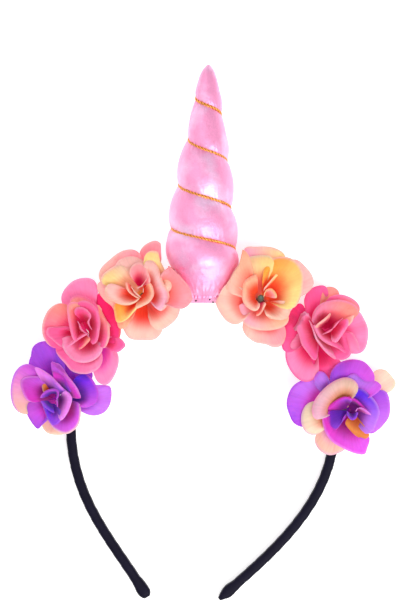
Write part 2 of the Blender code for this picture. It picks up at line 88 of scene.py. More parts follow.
# The horn and its cord, as in the part's source
HORN_FOOT = (1.8, -0.7)
HORN_TIP = (3.9, 110.7)
HORN_HEIGHT = math.dist(HORN_FOOT, HORN_TIP)
HORN_AXIS_LEVEL = 17.4
HORN_LIP_TOP = 7.2
SEAT_GAP = 0.4
HORN_RADIUS = (
    (-4.0, 2.0), (0.0, 6.5), (3.0, 9.5), (7.0, 12.0), (12.0, 14.6), (18.0, 16.6), (24.0, 17.2),
    (35.0, 16.7), (40.0, 16.0), (52.0, 14.4), (60.0, 13.4), (72.0, 11.4), (80.0, 9.2), (96.0, 6.5),
    (105.0, 4.3), (109.0, 2.6), (111.4, 0.6),
)
CORD_HEIGHTS = (
    (-0.6, 99.0), (0.0, 95.7), (1.0, 88.0), (2.0, 76.8), (3.0, 66.2), (4.0, 55.4), (5.0, 44.3), (6.0, 35.1),
    (7.0, 25.2), (8.0, 16.5), (8.1, 15.6),
)
GROOVE_DEPTH = ((0.0, 0.1), (20.0, 0.15), (35.0, 0.19), (55.0, 0.22), (77.0, 0.26), (96.0, 0.28))
GROOVE_FULLNESS = 0.5
GROOVE_FADE = 7.0
CORD_DIAMETER = 1.5
CORD_SUNK = 0.25
CORD_POINTS = 700
CORD_ROW_SPACING = 0.32
STRAND_RADIUS = CORD_DIAMETER * 0.27
STRAND_COLUMNS = 10
HORN_ROWS = 300
HORN_COLUMNS = 160
HORN_LAST_ROW = HORN_HEIGHT - 0.15

# The puckers beside the cord: how many go round the horn, and how they slant and wander
PUCKERS = 34
PUCKER_SLANT = 0.7
PUCKER_WANDER = 7

# The folded hem at the horn's foot: the height, depth and width of its crease, and the pleats over it
HEM_HEIGHT = 3.4
HEM_CREASE = 0.9
HEM_CREASE_WIDTH = 0.7
HEM_PLEATS = 30
HEM_PLEAT_DEPTH = 0.35
HEM_PLEAT_RISE = 1.5
HEM_PLEAT_FADE = 9
HEM_PLEAT_WANDER = 5

# Height above the horn's foot, and how far the stuffing makes the horn bow to the left there
HORN_BOW = ((0.0, 0.0), (14.0, 0.5), (30.0, 1.3), (45.0, 1.35), (60.0, 0.9), (75.0, 0.4), (90.0, 0.0))

# The roses, as in the part's source, each with its eye, the place in the photograph's pixels that its inner
# petals open from, and the record's slot for its fabric
Rose = namedtuple("Rose", "name face seat eye slot")
ROSES = (
    Rose("purple_rose_left", (-66.7, -42.5), (-60.5, -45.5), (54, 398), "purple_fabric"),
    Rose("pink_rose_left", (-54.5, -12.5), (-47.5, -19.5), (85, 327), "pink_fabric"),
    Rose("peach_rose_left", (-27.7, 6.3), (-24.5, -0.5), (139, 291), "peach_fabric"),
    Rose("peach_rose_right", (28.7, 3.5), (27.5, -2.5), (260, 297), "peach_fabric"),
    Rose("pink_rose_right", (59.2, -12.5), (51.5, -19.0), (327, 327), "pink_fabric"),
    Rose("purple_rose_right", (68.2, -51.5), (63.5, -51.0), (351, 408), "purple_fabric"),
)
FACE_HEIGHT = 18.0
ROSE_DROOP = 0.16
PETAL_ROOT = 2.4
UPPER_ROSES = {
    "purple_rose_left": ("pink_rose_left",),
    "pink_rose_left": ("peach_rose_left",),
    "pink_rose_right": ("peach_rose_right", "purple_rose_right"),
}
UPPER_REACH = 20.5
UPPER_RISE = 8.0
UPPER_CURVE = 1.6
UPPER_GAP = 1.0
UPPER_EDGE = 1.05

# Each layer: its level at the root, how far its roots lie on the way from the peg to the eye, where its
# petals turn over, how far their rims fall, the room left for other roses, how square a petal's ends are, and
# where its colour begins and ends to grow paler, from a deep base that is partly dye and partly painted shade
# under the petals that lie over it
Layer = namedtuple("Layer", "level to_eye shoulder fall spare corners deep pale")
LAYERS = {
    "outer_petals": Layer(2.5, 0.3, 0.74, 0.16, 0.9, 5.0, 0.34, 0.82),
    "middle_petals": Layer(5.0, 0.5, 0.78, 0.14, 2.4, 7.0, 0.28, 0.8),
    "inner_petals": Layer(9.8, 1.0, 0.85, 0.08, 3.9, 8.0, 0.25, 0.85),
    "bud": Layer(10.5, 1.0, 0.8, 0.04, 5.4, 9.0, 0.3, 0.98),
}
LIP_WIDTH = 1.5
LIP_ROLL = 0.3
# The share of a lip's own colour at the rim: partly dye, partly a painted highlight where the rim rolls over
LIP_DYE_AND_HIGHLIGHT = 0.75
GRID_ACROSS = 32
GRID_OUTWARDS = 20

# How the rows of a petal's grid crowd towards its rim, how much of the petal's width its ends round off, how
# far its root turns towards its middle, and how far apart the petals lie in the coordinates of the cloth
GRID_CROWDING = 1.7
ROUNDED_WIDTH = 0.99
ROOT_TURN = 0.7
CLOTH_SPACING = 31

# A petal's ruffles and dents: the seeds kept for each rose, their spacing, and the gains that bring the noise
# to the height of the setting
SEEDS_TO_A_ROSE = 20
RUFFLE_SPACING = 7
RUFFLE_GAIN = 2.2
DENT_SPACING = 5
DENT_GAIN = 1.6

# Petal colours, as a screen shows them: dyes, with the deep ones at the bases partly painted shade and the pale
# ones at the lips partly painted highlights
TONES = {
    "violet": (140, 66, 210),
    "deep violet": (92, 14, 168),
    "blue violet": (84, 24, 222),
    "dark violet": (78, 8, 160),
    "lilac": (176, 110, 226),
    "orchid": (196, 80, 212),
    "pale orchid": (230, 124, 226),
    "magenta": (214, 48, 188),
    "deep magenta": (172, 8, 140),
    "plum": (112, 6, 128),
    "cream": (238, 204, 176),
    "tan": (226, 178, 156),
    "cream pink": (226, 170, 190),
    "orange": (226, 128, 60),
    "brown orange": (198, 84, 30),
    "light pink": (250, 130, 172),
    "pale pink": (250, 160, 192),
    "pink": (248, 90, 148),
    "deep pink": (240, 50, 120),
    "rose": (236, 20, 96),
    "crimson": (214, 8, 82),
    "salmon": (255, 146, 132),
    "blush": (252, 184, 176),
    "pale peach": (252, 189, 170),
    "peach": (255, 176, 142),
    "coral pink": (255, 150, 156),
    "coral": (255, 112, 96),
    "red orange": (250, 74, 34),
    "amber": (255, 164, 62),
    "yellow": (255, 214, 138),
    "pink lilac": (246, 170, 192),
}

# For each layer of each rose, one row for each petal: the height of its rim at its two ends, the colours of its
# base, partly dye and partly painted shade, of its edge at the start and the end of the rim, and of its lip,
# partly dye and partly a painted highlight, and its rim as places in the photograph's pixels
Petal = namedtuple("Petal", "heights base edge_start edge_end lip rim")
PETALS = {
    ("purple_rose_left", "outer_petals"): (
        Petal((8, 7), "deep violet", "violet", "violet", "violet",
              ((23, 366), (31, 356), (33, 348), (38, 343), (46, 341), (57, 344), (67, 353))),
        Petal((6, 6), "dark violet", "deep violet", "violet", "violet",
              ((52, 346), (62, 349), (72, 356), (82, 362), (91, 368), (99, 377))),
        Petal((12, 9), "deep violet", "orchid", "tan", "lilac",
              ((42, 366), (33, 364), (28, 363), (21, 366), (15, 374), (12, 386), (12, 397), (15, 407),
               (21, 414), (30, 417))),
        Petal((8, 8), "orchid", "tan", "tan", "cream",
              ((39, 420), (44, 428), (48, 432), (55, 434), (66, 433), (72, 428))),
        Petal((8, 7), "violet", "lilac", "lilac", "lilac",
              ((98, 381), (105, 384), (111, 386), (112, 396), (110, 405), (104, 412), (95, 415),
               (84, 414))),
        Petal((10, 10), "dark violet", "blue violet", "orchid", "orchid",
              ((80, 366), (88, 373), (94, 380), (99, 391), (98, 400), (91, 406), (83, 409))),
        Petal((11, 10), "deep magenta", "orchid", "orchid", "cream",
              ((47, 421), (54, 428), (66, 433), (75, 429), (80, 422), (82, 412), (82, 400))),
    ),
    ("purple_rose_left", "middle_petals"): (
        Petal((11, 12), "magenta", "orchid", "violet", "violet",
              ((30, 400), (27, 405), (28, 413), (33, 422), (39, 428), (43, 424), (49, 420))),
        Petal((14, 15), "plum", "orchid", "magenta", "pale orchid",
              ((49, 359), (56, 360), (61, 365), (65, 371), (72, 379), (78, 387), (82, 395), (85, 399))),
        Petal((14, 14), "deep magenta", "orchid", "magenta", "pale orchid",
              ((45, 375), (36, 376), (26, 377), (22, 381), (23, 389), (28, 399), (35, 403))),
        Petal((15, 14), "deep violet", "magenta", "deep violet", "orchid",
              ((52, 370), (60, 371), (66, 376), (70, 384), (74, 391))),
    ),
    ("purple_rose_left", "inner_petals"): (
        Petal((17, 15), "plum", "pale orchid", "violet", "pale orchid",
              ((33, 365), (39, 367), (46, 371), (53, 376), (59, 382), (65, 388), (71, 392))),
        Petal((12, 13), "red orange", "orange", "orange", "tan",
              ((44, 392), (43, 383), (45, 376), (50, 377), (57, 382))),
        Petal((17, 16), "plum", "pale orchid", "pale orchid", "pale orchid",
              ((66, 389), (71, 393), (73, 398), (71, 406), (68, 413), (61, 422))),
        Petal((14, 15), "dark violet", "blue violet", "violet", "violet",
              ((42, 401), (46, 410), (49, 418), (54, 424), (60, 422), (65, 412))),
    ),
    ("purple_rose_left", "bud"): (
        Petal((15, 17), "deep violet", "violet", "magenta", "orchid",
              ((40, 398), (46, 391), (54, 388), (59, 389), (60, 394), (58, 400), (59, 408))),
        Petal((15, 15), "dark violet", "violet", "blue violet", "violet",
              ((41, 400), (46, 406), (51, 410), (56, 413))),
    ),
    ("pink_rose_left", "outer_petals"): (
        Petal((9, 8), "rose", "light pink", "light pink", "pale pink",
              ((57, 302), (60, 296), (67, 287), (74, 281), (84, 278), (95, 280), (101, 291))),
        Petal((9, 9), "magenta", "light pink", "light pink", "pale pink",
              ((104, 348), (112, 349), (118, 353), (119, 363), (115, 375), (108, 384), (99, 383),
               (92, 376))),
        Petal((10, 10), "rose", "pink", "pink", "light pink",
              ((112, 336), (118, 337), (123, 340), (126, 345), (123, 349), (118, 352), (112, 351))),
        Petal((9, 10), "crimson", "rose", "deep pink", "coral",
              ((97, 284), (105, 291), (112, 301), (118, 313), (121, 325), (121, 337), (117, 347))),
        Petal((11, 11), "deep pink", "salmon", "pink", "blush",
              ((68, 299), (59, 302), (50, 309), (45, 318), (43, 327), (44, 336), (49, 345), (57, 353))),
        Petal((11, 11), "rose", "pink", "light pink", "pale pink",
              ((49, 345), (59, 356), (66, 363), (72, 370), (80, 373), (89, 373), (98, 369), (103, 363),
               (106, 354))),
    ),
    ("pink_rose_left", "middle_petals"): (
        Petal((14, 14), "rose", "pink", "pink", "light pink",
              ((69, 326), (58, 327), (49, 328), (48, 334), (53, 339), (61, 346), (68, 350))),
        Petal((15, 15), "rose", "light pink", "light pink", "pale pink",
              ((60, 336), (64, 347), (69, 355), (75, 360), (83, 362), (91, 361), (98, 357), (103, 351),
               (105, 344))),
        Petal((15, 16), "rose", "salmon", "pink", "blush",
              ((96, 301), (101, 306), (105, 312), (109, 319), (110, 328), (110, 337), (107, 346),
               (104, 351))),
        Petal((15, 15), "rose", "salmon", "pink", "pink",
              ((69, 306), (72, 299), (78, 296), (88, 298), (96, 303), (101, 312))),
    ),
    ("pink_rose_left", "inner_petals"): (
        Petal((17, 17), "crimson", "pink", "pink", "light pink",
              ((76, 301), (87, 301), (95, 306), (99, 312), (101, 322), (100, 332), (98, 341), (93, 347))),
        Petal((17, 18), "crimson", "salmon", "pink", "light pink",
              ((82, 302), (74, 302), (69, 305), (69, 315), (71, 327), (74, 338), (77, 343))),
        Petal((17, 17), "crimson", "deep pink", "salmon", "salmon",
              ((79, 350), (84, 347), (88, 343), (92, 339))),
        Petal((18, 18), "rose", "light pink", "pink", "light pink",
              ((67, 348), (72, 345), (77, 341), (83, 337), (90, 333))),
    ),
    ("pink_rose_left", "bud"): (
        Petal((19, 19), "crimson", "pink", "pink", "light pink",
              ((74, 312), (77, 308), (82, 307), (87, 309), (90, 312), (92, 316), (90, 321), (91, 326),
               (94, 331))),
        Petal((18, 19), "crimson", "pink", "pink", "light pink",
              ((78, 320), (80, 323), (83, 329), (87, 333), (91, 338))),
    ),
    ("peach_rose_left", "outer_petals"): (
        Petal((9, 10), "coral", "coral pink", "coral pink", "blush",
              ((137, 254), (142, 248), (149, 243), (156, 241), (162, 245), (166, 254))),
        Petal((10, 10), "amber", "pale peach", "coral pink", "blush",
              ((94, 284), (97, 277), (101, 269), (109, 261), (121, 252), (133, 249), (145, 250))),
        Petal((11, 11), "coral", "blush", "peach", "blush",
              ((96, 275), (96, 284), (99, 292), (105, 300), (113, 307), (117, 318), (119, 330),
               (125, 335))),
        Petal((9, 8), "red orange", "pale peach", "pale peach", "blush",
              ((116, 322), (123, 329), (130, 338), (142, 340), (155, 339), (163, 332), (168, 324))),
        Petal((18, 17), "coral", "coral pink", "coral pink", "coral pink",
              ((167, 264), (174, 264), (183, 268), (190, 276), (194, 287), (192, 300), (184, 309),
               (174, 308))),
        Petal((12, 12), "coral", "pale peach", "pale peach", "blush",
              ((168, 290), (175, 296), (180, 305), (178, 316), (171, 324), (161, 330), (150, 330))),
    ),
    ("peach_rose_left", "middle_petals"): (
        Petal((15, 15), "coral", "yellow", "pale peach", "blush",
              ((143, 254), (150, 251), (158, 252), (166, 257), (172, 265), (175, 275), (173, 286),
               (169, 295))),
        Petal((13, 13), "peach", "yellow", "pale peach", "blush",
              ((100, 285), (103, 276), (111, 269), (122, 264), (133, 265))),
        Petal((13, 14), "coral", "blush", "blush", "blush",
              ((114, 268), (118, 262), (125, 258), (134, 257), (143, 261), (149, 268))),
        Petal((14, 15), "red orange", "amber", "yellow", "yellow",
              ((113, 303), (115, 312), (118, 322), (126, 320), (134, 312), (142, 303))),
        Petal((16, 16), "red orange", "blush", "pale peach", "cream",
              ((109, 281), (106, 288), (107, 296), (115, 302), (126, 305), (135, 303), (141, 298))),
        Petal((17, 16), "red orange", "blush", "pink lilac", "pale peach",
              ((143, 259), (152, 260), (158, 267), (161, 276), (164, 284), (169, 293), (169, 302),
               (162, 311), (155, 308))),
    ),
    ("peach_rose_left", "inner_petals"): (
        Petal((16, 17), "crimson", "coral pink", "coral pink", "blush",
              ((129, 274), (133, 266), (139, 263), (145, 266), (149, 274), (152, 283))),
        Petal((17, 17), "red orange", "peach", "peach", "pale peach",
              ((150, 281), (153, 287), (154, 295), (150, 302), (143, 306), (135, 310))),
        Petal((17, 17), "red orange", "coral", "peach", "pale peach",
              ((126, 281), (128, 290), (133, 295), (140, 299))),
    ),
    ("peach_rose_left", "bud"): (
        Petal((18, 18), "crimson", "coral pink", "coral pink", "blush",
              ((137, 289), (142, 286), (146, 281), (149, 276))),
        Petal((18, 18), "crimson", "peach", "peach", "pale peach",
              ((131, 286), (134, 290), (138, 294), (142, 298))),
    ),
    ("peach_rose_right", "outer_petals"): (
        Petal((10, 10), "amber", "pink lilac", "yellow", "pale peach",
              ((238, 258), (241, 251), (246, 247), (255, 247), (267, 247), (276, 249), (285, 254),
               (290, 262))),
        Petal((11, 11), "coral", "blush", "blush", "blush",
              ((288, 254), (297, 259), (304, 266), (311, 275), (313, 284), (308, 292), (300, 300))),
        Petal((18, 20), "coral", "peach", "pale peach", "blush",
              ((248, 245), (240, 248), (234, 255), (230, 265), (226, 276), (224, 286), (226, 294))),
        Petal((19, 14), "coral", "pale peach", "pale peach", "blush",
              ((231, 278), (225, 281), (218, 286), (215, 295), (216, 304), (221, 314), (228, 322),
               (236, 325), (244, 321))),
        Petal((9, 9), "red orange", "pale peach", "coral pink", "blush",
              ((240, 322), (241, 329), (246, 336), (255, 342), (265, 344), (273, 347), (281, 345),
               (286, 336), (289, 326))),
    ),
    ("peach_rose_right", "middle_petals"): (
        Petal((13, 13), "coral", "pink lilac", "peach", "pale peach",
              ((236, 303), (240, 317), (246, 325), (255, 329), (268, 330), (279, 328), (287, 323),
               (291, 313))),
        Petal((13, 14), "coral", "pale peach", "yellow", "cream",
              ((239, 282), (238, 272), (241, 262), (247, 258), (257, 256), (268, 256), (277, 260))),
        Petal((15, 15), "red orange", "amber", "yellow", "blush",
              ((262, 271), (266, 264), (275, 258), (288, 258), (297, 264), (302, 274), (302, 286),
               (300, 297), (295, 307), (287, 312))),
        Petal((14, 14), "red orange", "pale peach", "pale peach", "pale peach",
              ((265, 316), (273, 320), (282, 321), (288, 315), (290, 306), (287, 300))),
    ),
    ("peach_rose_right", "inner_petals"): (
        Petal((15, 15), "red orange", "peach", "pale peach", "pale peach",
              ((257, 272), (248, 278), (242, 283), (241, 291), (243, 302), (248, 308), (255, 311),
               (261, 306))),
        Petal((14, 13), "red orange", "blush", "yellow", "pale peach",
              ((264, 288), (270, 281), (276, 274), (283, 268))),
        Petal((15, 15), "coral", "coral pink", "coral pink", "yellow",
              ((263, 297), (266, 290), (271, 289), (275, 293), (277, 299))),
        Petal((13, 13), "crimson", "coral", "blush", "pale peach",
              ((255, 317), (260, 314), (264, 307), (266, 303))),
    ),
    ("pink_rose_right", "outer_petals"): (
        Petal((8, 8), "rose", "pink", "pink", "pink",
              ((303, 308), (304, 298), (309, 290), (317, 286), (325, 286), (331, 293))),
        Petal((9, 9), "deep pink", "salmon", "salmon", "salmon",
              ((320, 291), (327, 287), (334, 288), (342, 295))),
        Petal((7, 8), "rose", "deep pink", "pink", "deep pink",
              ((301, 296), (293, 306), (286, 318), (284, 332), (281, 344), (282, 352), (287, 357))),
        Petal((8, 9), "crimson", "light pink", "light pink", "pink",
              ((298, 330), (289, 338), (285, 350), (286, 362), (292, 373), (300, 380), (309, 381),
               (317, 376), (319, 366))),
        Petal((9, 9), "deep pink", "light pink", "light pink", "pale pink",
              ((350, 312), (358, 310), (363, 318), (367, 328), (367, 338), (364, 350), (357, 359))),
        Petal((11, 10), "deep pink", "pink", "salmon", "light pink",
              ((324, 297), (332, 295), (342, 295), (352, 299), (359, 306), (362, 316))),
        Petal((9, 9), "crimson", "deep pink", "pink", "pink",
              ((309, 356), (311, 368), (316, 377), (326, 380), (337, 376), (347, 366))),
    ),
    ("pink_rose_right", "middle_petals"): (
        Petal((14, 14), "rose", "light pink", "pink", "light pink",
              ((303, 306), (296, 308), (291, 313), (293, 324), (298, 334), (301, 344), (306, 351),
               (314, 361), (317, 357))),
        Petal((14, 14), "crimson", "light pink", "salmon", "light pink",
              ((309, 322), (311, 317), (314, 310), (320, 304), (329, 301), (339, 300), (350, 303),
               (357, 308), (360, 315))),
        Petal((14, 14), "deep pink", "pink", "light pink", "light pink",
              ((345, 331), (351, 333), (356, 341), (358, 349), (356, 356))),
        Petal((15, 14), "rose", "pink", "pink", "light pink",
              ((344, 333), (348, 339), (350, 347), (349, 355), (343, 359), (334, 360))),
        Petal((15, 16), "crimson", "light pink", "light pink", "pale pink",
              ((306, 317), (309, 322), (312, 330), (315, 339), (320, 346), (325, 352), (331, 357),
               (338, 362))),
    ),
    ("pink_rose_right", "inner_petals"): (
        Petal((17, 17), "crimson", "light pink", "pink", "light pink",
              ((311, 323), (314, 330), (318, 337), (324, 342), (330, 345), (337, 348), (343, 352),
               (347, 355))),
        Petal((17, 16), "rose", "pink", "light pink", "light pink",
              ((347, 317), (347, 324), (344, 330), (340, 336), (335, 342), (330, 341))),
        Petal((15, 15), "crimson", "salmon", "salmon", "blush",
              ((347, 326), (351, 321), (353, 314))),
    ),
    ("pink_rose_right", "bud"): (
        Petal((19, 19), "crimson", "salmon", "salmon", "blush",
              ((313, 328), (316, 324), (320, 321), (325, 317), (330, 312))),
        Petal((19, 18), "crimson", "rose", "deep pink", "light pink",
              ((320, 335), (327, 331), (333, 327), (338, 321), (343, 317))),
    ),
    ("purple_rose_right", "outer_petals"): (
        Petal((5, 6), "tan", "cream", "cream", "cream",
              ((371, 375), (376, 369), (385, 370), (391, 376), (395, 383), (390, 391), (381, 391))),
        Petal((8, 8), "magenta", "lilac", "violet", "violet",
              ((322, 377), (313, 376), (303, 379), (294, 384), (288, 393), (286, 404), (289, 415),
               (293, 424), (302, 432))),
        Petal((11, 11), "deep violet", "lilac", "lilac", "orchid",
              ((311, 384), (314, 376), (318, 371), (323, 372), (328, 378))),
        Petal((9, 9), "orchid", "tan", "tan", "cream pink",
              ((312, 432), (314, 442), (320, 450), (329, 454), (338, 452), (345, 448), (350, 440))),
        Petal((9, 9), "deep violet", "violet", "lilac", "lilac",
              ((370, 395), (379, 389), (386, 392), (389, 403), (388, 416), (382, 425), (377, 431),
               (372, 440))),
        Petal((13, 13), "deep violet", "violet", "orchid", "orchid",
              ((325, 378), (330, 370), (337, 363), (345, 360), (353, 359), (362, 361), (369, 367),
               (375, 375), (378, 383))),
        Petal((11, 11), "orange", "cream", "cream", "cream pink",
              ((314, 397), (305, 404), (301, 413), (301, 423), (305, 431), (313, 434), (324, 430))),
    ),
    ("purple_rose_right", "middle_petals"): (
        Petal((14, 13), "deep magenta", "lilac", "orchid", "orchid",
              ((344, 374), (353, 373), (361, 376), (370, 379), (377, 382), (380, 386), (377, 391),
               (370, 396))),
        Petal((14, 12), "deep magenta", "magenta", "orchid", "pale orchid",
              ((319, 412), (322, 424), (326, 434), (332, 441), (340, 446), (348, 450), (357, 453),
               (364, 453), (367, 446), (373, 438))),
        Petal((15, 14), "plum", "blue violet", "lilac", "lilac",
              ((354, 385), (364, 390), (371, 397), (376, 404), (378, 412), (375, 421), (371, 430),
               (365, 437))),
        Petal((17, 17), "orange", "cream pink", "tan", "pale pink",
              ((320, 419), (313, 418), (311, 411), (312, 404), (316, 396), (324, 387), (334, 380),
               (344, 377), (352, 379), (357, 384), (358, 391))),
    ),
    ("purple_rose_right", "inner_petals"): (
        Petal((13, 14), "plum", "magenta", "violet", "magenta",
              ((323, 413), (327, 406), (336, 399), (344, 396), (352, 398))),
        Petal((14, 13), "dark violet", "deep violet", "violet", "magenta",
              ((326, 409), (327, 419), (329, 427), (334, 429), (340, 422), (343, 415))),
        Petal((13, 14), "brown orange", "orange", "orange", "orange",
              ((343, 422), (348, 428), (354, 434), (362, 438), (368, 435), (366, 429))),
        Petal((14, 14), "plum", "magenta", "deep magenta", "magenta",
              ((346, 395), (354, 398), (361, 404), (368, 412))),
    ),
    ("purple_rose_right", "bud"): (
        Petal((15, 15), "dark violet", "blue violet", "blue violet", "violet",
              ((345, 410), (347, 416), (351, 419), (355, 417), (357, 411))),
        Petal((16, 16), "deep magenta", "pale orchid", "pale orchid", "pale orchid",
              ((354, 411), (356, 408), (360, 407), (366, 410), (371, 415))),
    ),
}

# Black stitches at the horn's foot: place seen from the front, the way that each runs, and its length
Stitch = namedtuple("Stitch", "x y angle length")
STITCHES = (
    Stitch(-1.9, 0.3, 20, 1.1),
    Stitch(4.6, 1.0, 70, 1.1),
    Stitch(6.0, -0.3, -20, 1.2),
)
STITCH_RADIUS = 0.33
STITCH_LIFT = 0.15
STITCH_ARCH = 0.22
STITCH_ROWS = 9
STITCH_COLUMNS = 10

# The camera looks straight down on the middle of the photograph, whose long side is this far across
PHOTO_HEIGHT = 283.4
PHOTO_MIDDLE = (200.0, 301.5)
PIXEL = 0.47
CAMERA_HEIGHT = 3000.0
CAMERA_SENSOR = 36.0
CAMERA_REACH = 20.0

# The stage, in metres and in light
SoftLight = namedtuple("SoftLight", "name place size colour")
KEY_LIGHT = SoftLight("key_light", (0.31, -0.42, 0.9), 0.7, (1.0, 0.99, 0.97))
FILL_LIGHT = SoftLight("fill_light", (-0.6, 0.4, 0.75), 0.7, (0.97, 0.98, 1.0))
SURROUNDINGS_COLOUR = (1.0, 0.99, 0.98, 1.0)
SURROUNDINGS_STRENGTH = 0.52
FLOOR_HALF_WIDTH = 2.0
FLOOR_LEVEL = -0.0003
FLOOR_GLOW = 0.55


def colour_setting(name, description, default):
    """A colour that the user can change."""
    return FloatVectorProperty(
        name=name, description=description, subtype="COLOR", default=default, min=0.0, max=1.0
    )


def length_setting(name, description, default, low, high):
    """A length in metres that the user can change."""
    return FloatProperty(
        name=name, description=description, unit="LENGTH", default=default, min=low, max=high
    )


def power_setting(name, description, default):
    """The power of a light, in watts, that the user can change."""
    return FloatProperty(name=name, description=description, unit="POWER", default=default, min=0.0)


class RibbonSettings(bpy.types.PropertyGroup):
    """The satin ribbon wound round the band."""

    colour: colour_setting("Ribbon colour", "Colour of the satin ribbon", (0.005, 0.004, 0.014))
    pitch: length_setting("Turn", "How far the ribbon moves along the band in one turn", 0.0065, 0.003, 0.02)
    step: length_setting("Step", "How far one turn stands over the turn before it", 0.00016, 0.0, 0.0005)


class HornSettings(bpy.types.PropertyGroup):
    """The stuffed horn of metallic fabric."""

    colour: colour_setting("Fabric colour", "Colour of the metallic fabric", (0.93, 0.325, 0.59))
    pearl: colour_setting("Pearl colour", "Colour of the fabric's paler patches", (0.90, 0.53, 0.79))
    pucker: length_setting("Puckers", "Height of the small pleats beside the cord", 0.00022, 0.0, 0.001)
    crease: length_setting("Creases", "Height of the soft dents of the stuffing", 0.0003, 0.0, 0.001)


class CordSettings(bpy.types.PropertyGroup):
    """The gold cord wound round the horn."""

    colour: colour_setting("Cord colour", "Colour of the gold thread", (0.78, 0.31, 0.07))
    strands: IntProperty(
        name="Strands", description="How many strands are twisted together", default=3, min=2, max=5
    )
    twist: length_setting("Twist", "Length of cord in which a strand goes round once", 0.0048, 0.001, 0.01)


class RoseSettings(bpy.types.PropertyGroup):
    """The fabric roses."""

    thickness: length_setting("Fabric thickness", "Thickness of the petals' fabric", 0.0004, 0.0002, 0.001)
    ruffle: length_setting("Ruffles", "Height of the waves along the petals' rims", 0.0011, 0.0, 0.003)
    dent: length_setting("Dents", "Height of the soft dents in the petals", 0.0005, 0.0, 0.002)
    tuck: length_setting("Tuck", "How far a petal's side lies under its neighbour", 0.0007, 0.0, 0.002)


class StageSettings(bpy.types.PropertyGroup):
    """The floor, the lights and the camera."""

    floor_colour: colour_setting("Floor colour", "Colour of the pale floor", (0.9, 0.9, 0.9))
    key_power: power_setting("Key light", "Power of the main soft light", 10.0)
    fill_power: power_setting("Fill light", "Power of the second soft light", 2.5)


def smooth(rows, place):
    """The value at place of a smooth curve through rows of (place, value)."""
    if place <= rows[0][0]:
        return rows[0][1]
    if place >= rows[-1][0]:
        return rows[-1][1]
    i = max(k for k in range(len(rows) - 1) if rows[k][0] <= place)

    def slope(k):
        low = max(k - 1, 0)
        high = min(k + 1, len(rows) - 1)
        return (rows[high][1] - rows[low][1]) / (rows[high][0] - rows[low][0])

    (x0, y0), (x1, y1) = rows[i], rows[i + 1]
    span = x1 - x0
    t = (place - x0) / span
    return (
        (2 * t**3 - 3 * t**2 + 1) * y0
        + (t**3 - 2 * t**2 + t) * span * slope(i)
        + (3 * t**2 - 2 * t**3) * y1
        + (t**3 - t**2) * span * slope(i + 1)
    )


def eased(value, low, high):
    """From 0 at low to 1 at high, level at both ends."""
    share = max(0.0, min(1.0, (value - low) / (high - low)))
    return share * share * (3 - 2 * share)


def model_shift():
    """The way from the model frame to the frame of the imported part, in metres."""
    band_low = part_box("wrapped_band")[0]
    horn_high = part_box("horn")[1]
    left = LEFT_ARM.widest[0] - BAND_THICKNESS / 2
    return Vector((band_low.x - left * MM, horn_high.y - HORN_TIP[1] * MM, 0))


def rows_and_turns(bm, columns, rows):
    """Adds a closed tube of this many rows between two poles; gives each vertex, its row and its angle."""
    made = bmesh.ops.create_uvsphere(bm, u_segments=columns, v_segments=rows + 1, radius=1)
    placed = []
    for vert in made["verts"]:
        row = round(math.acos(max(-1.0, min(1.0, -vert.co.z))) / math.pi * (rows + 1))
        placed.append((vert, row, math.atan2(vert.co.y, vert.co.x)))
    return placed


def object_from(bm, name, finish):
    """A new object of the scene, with the shape of this bmesh."""
    mesh = bpy.data.meshes.new(name)
    bm.to_mesh(mesh)
    bm.free()
    mesh.materials.append(finish)
    made = bpy.data.objects.new(name, mesh)
    bpy.context.scene.collection.objects.link(made)
    return made


def piece_from(bm, name, finish, nodes=()):
    """The object of this bmesh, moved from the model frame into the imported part's, riding on its one body."""
    bmesh.ops.scale(bm, vec=(MM, MM, MM), verts=bm.verts)
    bmesh.ops.translate(bm, vec=model_shift(), verts=bm.verts)
    piece = object_from(bm, name, finish)
    piece.data.shade_smooth()
    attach(piece, "root")
    if nodes:
        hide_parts(*nodes)
    return piece


def linear(tone):
    """The tone of this name as linear light."""
    values = [part / 255 for part in TONES[tone]]
    return Vector([v / 12.92 if v <= 0.04045 else ((v + 0.055) / 1.055) ** 2.4 for v in values])


def new_finish(name, roughness, metallic=0.0, **sockets):
    """A material with these values on its shader."""
    finish = bpy.data.materials.new(name)
    finish.use_nodes = True
    shader = finish.node_tree.nodes["Principled BSDF"]
    shader.inputs["Roughness"].default_value = roughness
    shader.inputs["Metallic"].default_value = metallic
    for socket, value in sockets.items():
        shader.inputs[socket.replace("_", " ")].default_value = value
    return finish, finish.node_tree, shader


def add_node(tree, kind, settings=None, **sockets):
    """A shader node with these settings and, on its sockets, these values or links."""
    made = tree.nodes.new(kind)
    for key, value in (settings or {}).items():
        setattr(made, key, value)
    for key, value in sockets.items():
        name = key.replace("_", " ")
        socket = next(item for item in made.inputs if item.name == name)
        if isinstance(value, bpy.types.NodeSocket):
            tree.links.new(value, socket)
        else:
            socket.default_value = value
    return made


def object_place(tree):
    """The place on the object, which its patterns are laid out by."""
    return add_node(tree, "ShaderNodeTexCoord").outputs["Object"]


def grain(tree, place, scale, detail, **sockets):
    """A cloudy pattern from 0 to 1, with about this many grains to each unit of the place."""
    clouds = add_node(tree, "ShaderNodeTexNoise", Vector=place, Scale=scale, Detail=detail, **sockets)
    return clouds.outputs["Fac"]


def add_bump(tree, shader, *layers):
    """Joins layers of (height, strength, distance in metres) into one bumpy normal."""
    normal = None
    for height, strength, distance in layers:
        bump = add_node(tree, "ShaderNodeBump", Strength=strength, Distance=distance, Height=height)
        if normal is not None:
            tree.links.new(normal, bump.inputs["Normal"])
        normal = bump.outputs["Normal"]
    tree.links.new(normal, shader.inputs["Normal"])


